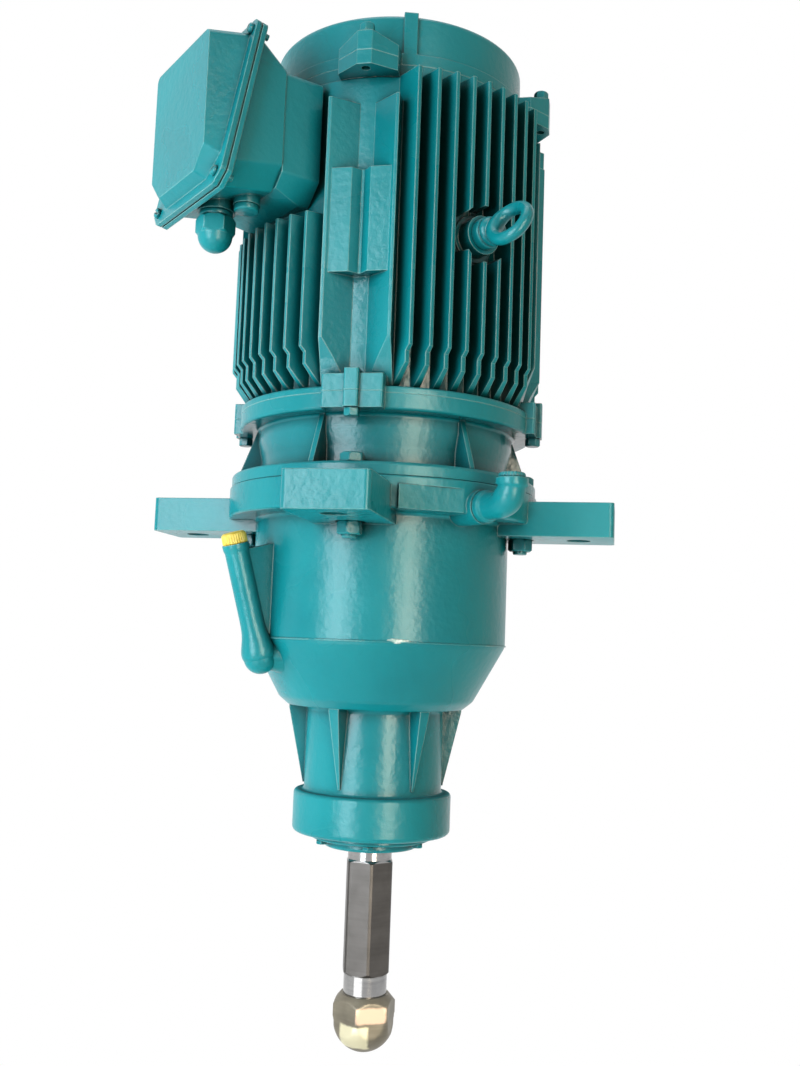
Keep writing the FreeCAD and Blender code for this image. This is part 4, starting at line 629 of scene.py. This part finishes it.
run = boxValues["bottomReach"] - boxValues["topReach"]
rise = boxValues["topHeight"] - boxValues["bottomHeight"]
slope = math.hypot(run, rise)
boxOut = outward(boxValues["azimuth"])
boxSide = outward(boxValues["azimuth"] + 90)
lidNormal = (rise * boxOut + upTo(run)) / slope
upLid = (-run * boxOut + upTo(rise)) / slope
lidFoot = boxValues["bottomReach"] * boxOut + upTo(boxValues["bottomHeight"])
grids = []
for inset, along, turn in ((screwValues["lowInset"], screwValues["lowInset"], screwValues["lowTurn"]),
                           (screwValues["topInset"], slope - screwValues["topInset"], screwValues["topTurn"])):
    for hand in (-1, 1):
        across = hand * (boxValues["halfWidth"] - inset)
        spot = lidFoot + across * boxSide + along * upLid + boxValues["seat"] * lidNormal
        slotWay = math.cos(turn * hand) * boxSide + math.sin(turn * hand) * upLid
        grids.append(stand(screwGrid(screwValues), spot, lidNormal, slotWay))
addPiece("lidScrews", grids, "terminal_box_lid_screws", crease=40)

# Cable gland with its cap, and the plug of the second entry; a body's rows are radius, height, rounding

glandValues = {
    "reach": 203.0,
    "body": [(0, 280), (13, 280), (13, 290, 0.8), (16, 290, 1.2), (16, 295, 1.0), (11, 295), (11, 313), (0, 313)],
    "capTop": 289.5,
    "capHeight": 17.0,
    "capFlats": 33.0,
    "capChamfer": 2.6,
    "capRim": 0.6,
    "capMouth": 1.0,
}
plugValues = {
    "reach": 184.0,
    "across": 26.0,
    "seat": 299.0,
    "body": [(0, -6), (12, -6, 1.5), (12, 0, 0.6), (8, 0), (8, 14), (0, 14)],
}
glandPlace = glandValues["reach"] * boxOut
addPiece("glandBody", [stand(turnedGrid(roundedProfile(glandValues["body"]), 64), glandPlace)], "cable_gland_body")


def glandCapGrid(values):
    # a half ball below, a cone out to the corners, the hexagon, and a cone back in at the top
    flat, corner = values["capFlats"] / 2, values["capFlats"] / math.sqrt(3)
    foot, top, chamfer = values["capTop"] - values["capHeight"], values["capTop"], values["capChamfer"]
    rows = [(flat * math.cos(a), foot + flat * math.sin(a)) for a in np.radians(np.linspace(-90, -4, 16))]
    rows += [*np.linspace((flat, foot), (corner, foot + chamfer), 6),
             *np.linspace((corner, top - chamfer), (flat + values["capRim"], top), 6),
             (flat - values["capMouth"], top), (0, top)]
    return turnedGrid(rows, 72, values["capFlats"])


addPiece("glandCap", [stand(glandCapGrid(glandValues), glandPlace, side=boxOut)], "cable_gland_cap")
plugPlace = plugValues["reach"] * boxOut + plugValues["across"] * boxSide + upTo(plugValues["seat"])
addPiece("entryPlug", [stand(turnedGrid(roundedProfile(plugValues["body"]), 64), plugPlace)],
         "entry_blanking_plug")
print("terminal box fittings made")

# Lifting eyebolt: a drop forging, with a shouldered stem that swells into the ring

eyeboltValues = {
    "azimuth": 45.0,
    "height": 277.0,
    "seat": 156.0,
    "ringCentre": 195.0,
    "ringRadius": 18.6,
    "barRadius": 5.9,
    "swell": 0.30,
    "swellAngle": 0.7,
    "turn": -27.0,
    "lean": -9.8,
    # radius, distance from the seat, rounding
    "stem": [(0, -25), (7.9, -25, 1), (7.9, 0), (14.8, 0, 0.8), (14.8, 8.5, 1.6), (12.6, 9.2, 0.4),
             (12.6, 10.2, 0.4), (14.2, 11.0, 1.2), (13.6, 14.5, 2.5)],
    # radius, distance from the near side of the ring, rounding
    "throat": [(9.2, -2, 3.0), (8.2, 3, 1.0), (0, 4)],
}


def ringGrid(centre, out, up, values, columns=40, rows=96):
    # centre + (R + r cos b) (cos a u + sin a v) - r sin b n: u points outward and v beside it in the ring's
    # plane, n is the plane's normal, and the bar radius r swells towards the stem
    turn, lean = math.radians(values["turn"]), math.radians(values["lean"])
    side = np.cross(up, out)
    normal = math.cos(lean) * (math.cos(turn) * side + math.sin(turn) * up) + math.sin(lean) * out
    inPlane = out - np.dot(out, normal) * normal
    inPlane /= np.linalg.norm(inPlane)
    beside = np.cross(normal, inPlane)
    a = np.linspace(0, 2 * np.pi, rows + 1)[:, None, None]
    b = (np.arange(columns) * 2 * np.pi / columns)[None, :, None]
    bar = values["barRadius"] * (1 + values["swell"] * np.exp(-((a - np.pi) / values["swellAngle"]) ** 2))
    way = np.cos(a) * inPlane + np.sin(a) * beside
    return centre + (values["ringRadius"] + bar * np.cos(b)) * way - bar * np.sin(b) * normal


out, up = outward(eyeboltValues["azimuth"]), upTo(1.0)
base = upTo(eyeboltValues["height"])
near = eyeboltValues["ringCentre"] - eyeboltValues["ringRadius"]
corners = [(row[0], eyeboltValues["seat"] + row[1], *row[2:]) for row in eyeboltValues["stem"]]
corners += [(row[0], near + row[1], *row[2:]) for row in eyeboltValues["throat"]]
addPiece("liftingEyebolt", [stand(turnedGrid(roundedProfile(corners, 6), 64), base, out, up),
                            ringGrid(base + eyeboltValues["ringCentre"] * out, out, up, eyeboltValues)],
         "lifting_eyebolt")
print("eyebolt made")

# Oil elbow: a malleable iron fitting with beads at its mouths and a full bend

elbowValues = {"azimuth": 46.8, "height": 19.0, "start": 162.0, "corner": 200.0, "bend": 18.0, "leg": 23.0,
               "wall": 12.4, "swelling": 1.5, "swellingLength": 9.0, "beadLength": 7.0, "beadEdge": 0.35,
               "innerBead": 2.6, "upperBead": 2.2, "mouthChamfer": 1.0}
elbowOut = outward(elbowValues["azimuth"])
elbowSide = np.cross([0, 0, 1], elbowOut)


def elbowGrid(values, rows=88, columns=56):
    # along a straight run, a quarter circle and a straight rise; the radius is the sum of a plain wall,
    # a swelling in the bend and a bead at each mouth, and 0 in the first and last row, which close the ends
    flat, quarter = values["corner"] - values["bend"] - values["start"], values["bend"] * math.pi / 2
    total = flat + quarter + values["leg"] - values["bend"]
    s = np.array([0, *np.linspace(0, total, rows), total])
    turn = np.clip((s - flat) / values["bend"], 0, np.pi / 2)
    reach = values["start"] + np.minimum(s, flat) + values["bend"] * np.sin(turn)
    height = values["height"] + values["bend"] * (1 - np.cos(turn)) + np.maximum(s - flat - quarter, 0)
    bell = np.exp(-((s - flat - quarter / 2) / values["swellingLength"]) ** 2)
    radius = values["wall"] + values["swelling"] * bell
    for bead, distance in (("innerBead", s), ("upperBead", total - s)):
        radius = radius + values[bead] / (1 + np.exp((distance - values["beadLength"]) / values["beadEdge"]))
    radius[[1, -2]] -= values["mouthChamfer"]
    radius[[0, -1]] = 0
    psi = np.arange(columns) * 2 * np.pi / columns
    normal = np.outer(-np.sin(turn), elbowOut) + np.outer(np.cos(turn), [0, 0, 1])
    centre = np.outer(reach, elbowOut) + np.outer(height, [0, 0, 1])
    ring = np.cos(psi)[None, :, None] * elbowSide + np.sin(psi)[None, :, None] * normal[:, None, :]
    return centre[:, None, :] + radius[:, None, None] * ring


addPiece("oilElbow", [elbowGrid(elbowValues)], "oil_elbow", crease=50)

breatherValues = {
    "grooves": (24, 0.7, 11.4),
    # radius, distance from the elbow's mouth, rounding
    "body": [(0, -5), (9, -5), (9, 0), (12, 0, 0.5), (12.4, 2.2, 0.6), (11.6, 4.6, 1.2), (6.0, 4.6, 0.8),
             (5.2, 5.0, 0.5), (0, 5.0)],
}
breatherPlace = elbowValues["corner"] * elbowOut + upTo(elbowValues["height"] + elbowValues["leg"])
addPiece("breatherPlug", [stand(turnedGrid(roundedProfile(breatherValues["body"], 5), 96,
                                           ripple=breatherValues["grooves"]), breatherPlace)], "breather_plug")

# Filler neck: the pipe is cast on the housing, with a full foot that runs into the barrel

fillerValues = {
    "azimuth": -45.0,
    "footReach": 135.0,
    "footHeight": -120.0,
    "topReach": 165.0,
    "topHeight": -20.0,
    "radius": 11.5,           # of the pipe in the CAD model, which the skin covers
    "skin": 0.35,
    "footSwelling": 5.2,
    "footLength": 15.0,
    "footDrop": 2.0,
    "lip": 1.0,
    "lipLength": 6.0,
    "lipEdge": 0.6,
    "below": 14.0,            # how far the round end hangs below the foot
    "roundFrom": 1.0,
    "roundLength": 13.0,
    "past": 0.2,
    "mouthWall": 1.5,
    "mouthDepth": 4.0,
    "rootRadius": 14.5,
    "rootFlare": 4.0,
    "rootReach": (109.0, 134.0),
    "rootEnd": 138.0,
    "rootDrop": 3.0,
}
fillerOut = outward(fillerValues["azimuth"])
fillerSide = np.cross([0, 0, 1], fillerOut)
fillerFoot = fillerValues["footReach"] * fillerOut + upTo(fillerValues["footHeight"])
fillerTop = fillerValues["topReach"] * fillerOut + upTo(fillerValues["topHeight"])
fillerLength = np.linalg.norm(fillerTop - fillerFoot)
fillerAxis = (fillerTop - fillerFoot) / fillerLength


def fillerGrid(values, rows=90, columns=56):
    # pipe wall + a bell-shaped foot swelling + a low lip at the mouth, closed by a round end below the foot
    mouth = fillerLength + values["past"]
    s = np.linspace(-values["below"], mouth, rows)
    bell = np.exp(-((s + values["footDrop"]) / values["footLength"]) ** 2)
    radius = values["radius"] + values["skin"] + values["footSwelling"] * bell
    radius = radius + values["lip"] / (1 + np.exp(-(s - fillerLength + values["lipLength"]) / values["lipEdge"]))
    under = (-s - values["roundFrom"]) / values["roundLength"]
    radius = radius * np.sqrt(np.clip(1 - under ** 3 * (s < -values["roundFrom"]), 0, 1))
    rows = [*zip(radius, s), (values["radius"] - values["mouthWall"], mouth),
            (0.0, fillerLength - values["mouthDepth"])]
    return stand(turnedGrid(rows, columns), fillerFoot, fillerAxis, fillerSide)


def rootGrid(values, rows=24, columns=56):
    # the foot's way into the barrel: root radius + flare (1 - t)^2 over a short level run
    near, far = values["rootReach"]
    t = np.linspace(0, 1, rows)
    radius = values["rootRadius"] + values["rootFlare"] * (1 - t) ** 2
    rows = [(0.0, near), *zip(radius, near + t * (far - near)), (0.0, values["rootEnd"])]
    return stand(turnedGrid(rows, columns), upTo(values["footHeight"] - values["rootDrop"]), fillerOut, [0, 0, 1])


addPiece("fillerNeckCasting", [fillerGrid(fillerValues), rootGrid(fillerValues)], "gear_housing", stands=False,
         crease=60)

fillerPlugValues = {
    "lengthShare": 0.12,      # of the pipe's length
    "grooves": (30, 0.6, 11.3),
    # radius, distance from the pipe's mouth, rounding
    "stem": [(0, -8), (6.8, -8), (6.8, 0), (11.4, 0.1, 0.6), (12.1, 1.4, 0.8)],
    # radius, distance from the plug's end, rounding
    "top": [(11.7, -2.6, 1.6), (8.8, -0.7, 1.0), (8.0, -1.4, 0.8), (0, -1.2)],
}
plugLength = fillerPlugValues["lengthShare"] * fillerLength
corners = fillerPlugValues["stem"] + [(row[0], plugLength + row[1], *row[2:]) for row in fillerPlugValues["top"]]
addPiece("fillerPlug", [stand(turnedGrid(roundedProfile(corners, 6), 120, ripple=fillerPlugValues["grooves"]),
                              fillerTop, fillerAxis, fillerSide)], "oil_filler_plug")
print("oil fittings made")

# Cap nut with its domed end

capValues = {"flats": 55.0, "azimuth": -2.0, "top": -452.0, "foot": -477.5, "coneHeight": 9.0, "journal": 22.0,
             "domeInset": 1.5, "shoulder": 5.0, "seatRim": 2.0, "seatDish": 1.0}


def capNutGrid(values):
    # a half ball, a shoulder out to the corners, the hexagon, and a cone up to the journal
    corner, rim = values["flats"] / math.sqrt(3), values["seatRim"]
    dome = corner - values["domeInset"]
    foot, top, journal = values["foot"], values["top"], values["journal"]
    rows = [(dome * math.cos(a), foot + dome * math.sin(a)) for a in np.radians(np.linspace(-90, 0, 26))]
    rows += [*np.linspace((dome, foot), (corner, foot + values["shoulder"]), 6)[1:],
             *np.linspace((corner, top - values["coneHeight"]), (journal + rim, top), 12),
             (journal - rim, top), (0, top - values["seatDish"])]
    return turnedGrid(rows, 96, values["flats"])


addPiece("capNut", [stand(capNutGrid(capValues), upTo(0.0), side=outward(capValues["azimuth"] + 30))], "cap_nut",
         crease=28)

# Mould line: the casting keeps a fine ridge where barrel and cone meet

seamValues = {"radius": 128.975, "height": -107.2, "halfWidth": 0.9, "rise": 0.55, "slope": 0.35, "sunk": 1.0,
              "waves": ((3, 0.35, 1.0), (11, 0.25, 0.0)), "columns": 360}


def waver(angle, waves):
    # 1 + the sum of depth x sin(count x angle + phase)
    return 1 + sum(depth * np.sin(count * angle + phase) for count, depth, phase in waves)


def seamGrid(values):
    # a low ridge carried round the barrel, its rise wavering and its back sunk in the wall
    angle = np.arange(values["columns"]) * 2 * np.pi / values["columns"]
    low, high = values["height"] - values["halfWidth"], values["height"] + values["halfWidth"]
    slope, sunk = values["slope"], -values["sunk"]
    height = np.array([low, low, low + slope, high - slope, high, high, low])
    raised = np.array([0, 0, 1, 1, 0, 0, 0])
    base = np.array([sunk, 0, 0, 0, 0, sunk, sunk])
    radius = values["radius"] + base[:, None] + raised[:, None] * values["rise"] * waver(angle, values["waves"])
    heights = np.repeat(height[:, None], len(angle), axis=1)
    return np.stack([radius * np.cos(angle), radius * np.sin(angle), heights], axis=-1)


addPiece("mouldLine", [seamGrid(seamValues)], "gear_housing", stands=False, crease=60)

# A knock on the mould line shows pale primer under the enamel, its paleness also a painted highlight on the ridge

knockHighlightValues = {"azimuth": 20.2, "height": -106.2, "halfWidth": 10.0, "halfHeight": 2.1, "rise": 0.50, "sunk": 1.5,
               "waves": ((3, 0.15, 0.7), (7, 0.07, 0.0), (13, 0.03, 0.0)), "columns": 64, "rows": 10}


def knockHighlightGrid(values):
    # a ragged oval: a flat back sunk in the wall, and a face of rise x (1 - t^4) that bends with the barrel
    angle = np.arange(values["columns"]) * 2 * np.pi / values["columns"]
    t = np.linspace(0, 1, values["rows"])
    spread = np.concatenate([t, t[::-1]])[:, None] * waver(angle, values["waves"])
    across = spread * values["halfWidth"] * np.cos(angle)
    back, face = np.full(values["rows"], -values["sunk"]), values["rise"] * (1 - t[::-1] ** 4)
    lift = np.concatenate([back, face])[:, None] - across ** 2 / (2 * seamValues["radius"])
    return np.stack([across, spread * values["halfHeight"] * np.sin(angle), lift], axis=-1)


knockHighlightOut = outward(knockHighlightValues["azimuth"])
knockHighlightPlace = seamValues["radius"] * knockHighlightOut + upTo(knockHighlightValues["height"])
# the pale patch is partly bare primer and partly a painted highlight
addPiece("primerKnockAndHighlight", [stand(knockHighlightGrid(knockHighlightValues), knockHighlightPlace, knockHighlightOut, np.cross([0, 0, 1], knockHighlightOut))],
         "gear_housing", stands=False, material=finish["knocked primer and painted highlight"], crease=50)
print("cap nut, mould line and knock made")


# Floor, backdrop, lamps and camera

stageValues = {
    "floorHeight": -1.15,
    "floorHalf": 6.0,
    "floorColour": "#e9ecec",
    "floorRoughness": 0.9,
    "worldStrength": 0.18,
    "worldColour": "#fff3c6",
    "nearRadius": 0.7,        # the floor shows its shadow within this radius, and is plain white past the next
    "farRadius": 1.5,
    "nearWhite": 0.70,
}


def seenShare(tree):
    # 1 for the camera, in reflections and through glass, 0 for the light on the object
    path = addNode(tree, "ShaderNodeLightPath")
    seen = path.outputs["Is Camera Ray"]
    for label in ("Is Glossy Ray", "Is Transmission Ray"):
        seen = combine(tree, "MAXIMUM", seen, path.outputs[label])
    return seen


def makeStageMaterial(values):
    # white where it is seen, the more so the farther from the axis, and pale grey to the light
    material, tree, shader, place = newMaterial("pale studio paper")
    setNode(tree, shader, {"Base Color": linearColour(values["floorColour"]),
                           "Roughness": values["floorRoughness"]})
    white = addNode(tree, "ShaderNodeEmission", {"Strength": 1.0})
    level = addNode(tree, "ShaderNodeVectorMath", {"operation": "MULTIPLY", 1: (1, 1, 0)}, {0: place})
    radius = addNode(tree, "ShaderNodeVectorMath", {"operation": "LENGTH"}, {0: level.outputs[0]})
    fade = mapped(tree, radius.outputs["Value"], (values["nearRadius"], values["farRadius"]),
                  (values["nearWhite"], 1.0))
    share = combine(tree, "MULTIPLY", seenShare(tree), fade)
    mixed = addNode(tree, "ShaderNodeMixShader", links={0: share, 1: shader.outputs[0], 2: white.outputs[0]})
    tree.links.new(mixed.outputs[0], tree.nodes["Material Output"].inputs[0])
    return material


def makeWorld(values):
    # white where it is seen, and a dim warm light from all sides
    world = bpy.data.worlds.new("studio")
    world.use_nodes = True
    tree = world.node_tree
    tree.nodes.clear()
    soft = addNode(tree, "ShaderNodeBackground",
                   {"Color": linearColour(values["worldColour"]), "Strength": values["worldStrength"]})
    white = addNode(tree, "ShaderNodeBackground", {"Color": linearColour("#ffffff"), "Strength": 1.0})
    mixed = addNode(tree, "ShaderNodeMixShader",
                    links={0: seenShare(tree), 1: soft.outputs[0], 2: white.outputs[0]})
    addNode(tree, "ShaderNodeOutputWorld", links={0: mixed.outputs[0]})
    bpy.context.scene.world = world


half = stageValues["floorHalf"]
corners = np.array([[[-half, -half, 0], [half, -half, 0]], [[-half, half, 0], [half, half, 0]]], dtype=float)
corners[..., 2] = stageValues["floorHeight"]
floor = showObject("studioFloor", meshFromGrids("studioFloor", [corners * 1000], closed=False),
                   makeStageMaterial(stageValues))
makeWorld(stageValues)

# A lamp that only shines is a reflection card, and one that only lights leaves no streak on the paint

lamps = {
    "windowLeft": {"place": (-0.90, -1.90, 0.15), "aim": (0, 0, 0), "size": (0.95, 1.9), "power": 31.0,
                   "colour": "#f4faff", "shines": False, "lights": True},
    "cardLeft": {"place": (-0.84, -1.93, 0.15), "aim": (0, 0, 0), "size": (0.80, 1.9), "power": 56.0,
                 "colour": "#f4faff", "shines": True, "lights": False},
    "cardRight": {"place": (1.22, -1.70, 0.15), "aim": (0, 0, 0), "size": (0.62, 1.9), "power": 60.0,
                  "colour": "#ffeed4", "shines": True, "lights": False},
    "fillRight": {"place": (1.22, -1.70, -0.65), "aim": (0, 0, -0.30), "size": (0.9, 0.8), "power": 11.0,
                  "colour": "#fff4dc", "shines": False, "lights": True},
    "sideLeft": {"place": (-2.10, -0.55, -0.15), "aim": (0, 0, -0.1), "size": (1.2, 1.5), "power": 30.0,
                 "colour": "#ffffff", "shines": False, "lights": True},
    "topSoft": {"place": (0.0, -0.3, 2.2), "aim": (0, 0, 0.2), "size": (1.2, 1.2), "power": 12.0,
                "colour": "#ffffff", "shines": True, "lights": True},
    "lowFront": {"place": (-0.55, -1.15, -1.0), "aim": (0, 0, -0.3), "size": (1.1, 0.5), "power": 4.5,
                 "colour": "#ffffff", "shines": True, "lights": True},
    "backSoft": {"place": (-0.3, 2.2, 0.5), "aim": (0, 0, 0), "size": (1.4, 1.6), "power": 34.0,
                 "colour": "#ffffff", "shines": False, "lights": True},
}


def axesToward(place, aim):
    # right, up and forward of what looks from place to aim
    forward = np.array(aim, dtype=float) - np.array(place, dtype=float)
    forward /= np.linalg.norm(forward)
    right = np.cross(forward, [0, 0, 1])
    right /= np.linalg.norm(right)
    return right, np.cross(right, forward), forward


def placeLooking(thing, place, right, up, forward):
    # a lamp or camera looks down its own -Z
    matrix = np.eye(4)
    matrix[:3, 0], matrix[:3, 1], matrix[:3, 2], matrix[:3, 3] = right, up, -forward, place
    thing.matrix_world = Matrix(matrix.tolist())


for name, values in lamps.items():
    data = bpy.data.lights.new(name, "AREA")
    data.shape = "RECTANGLE"
    data.size, data.size_y = values["size"]
    data.energy = values["power"]
    data.color = linearColour(values["colour"])[:3]
    lamp = bpy.data.objects.new(name, data)
    lamp.visible_glossy = values["shines"]
    lamp.visible_diffuse = values["lights"]
    bpy.context.scene.collection.objects.link(lamp)
    placeLooking(lamp, values["place"], *axesToward(values["place"], values["aim"]))

cameraValues = {
    "distance": 1.167,        # from the shaft axis, metres
    "height": -0.113,
    "azimuth": 12.1,          # from the front towards +X, degrees
    "turnedRight": 0.9,
    "pitchedUp": 5.8,
    "rolled": 2.1,
    "focalPixels": 1138.0,
    "pictureWidth": 800.0,
    "sensorWidth": 36.0,
}


def makeCamera(values):
    # turned from the axis by the heading, then pitched, then rolled; lens = focal pixels / width x sensor
    place = values["distance"] * outward(values["azimuth"]) + upTo(values["height"])
    heading = math.radians(values["azimuth"] - values["turnedRight"])
    pitch, roll = math.radians(values["pitchedUp"]), math.radians(values["rolled"])
    level = np.array([-math.sin(heading), math.cos(heading), 0.0])
    side = np.array([math.cos(heading), math.sin(heading), 0.0])
    vertical = upTo(1.0)
    forward = level * math.cos(pitch) + vertical * math.sin(pitch)
    upright = vertical * math.cos(pitch) - level * math.sin(pitch)
    right = side * math.cos(roll) + upright * math.sin(roll)
    up = upright * math.cos(roll) - side * math.sin(roll)
    data = bpy.data.cameras.new("photoCamera")
    data.sensor_fit = "HORIZONTAL"
    data.sensor_width = values["sensorWidth"]
    data.lens = values["focalPixels"] / values["pictureWidth"] * values["sensorWidth"]
    camera = bpy.data.objects.new("photoCamera", data)
    bpy.context.scene.collection.objects.link(camera)
    placeLooking(camera, place, right, up, forward)
    bpy.context.scene.camera = camera


makeCamera(cameraValues)
bpy.context.scene.view_settings.view_transform = "Standard"
print("stage, lamps and camera set")
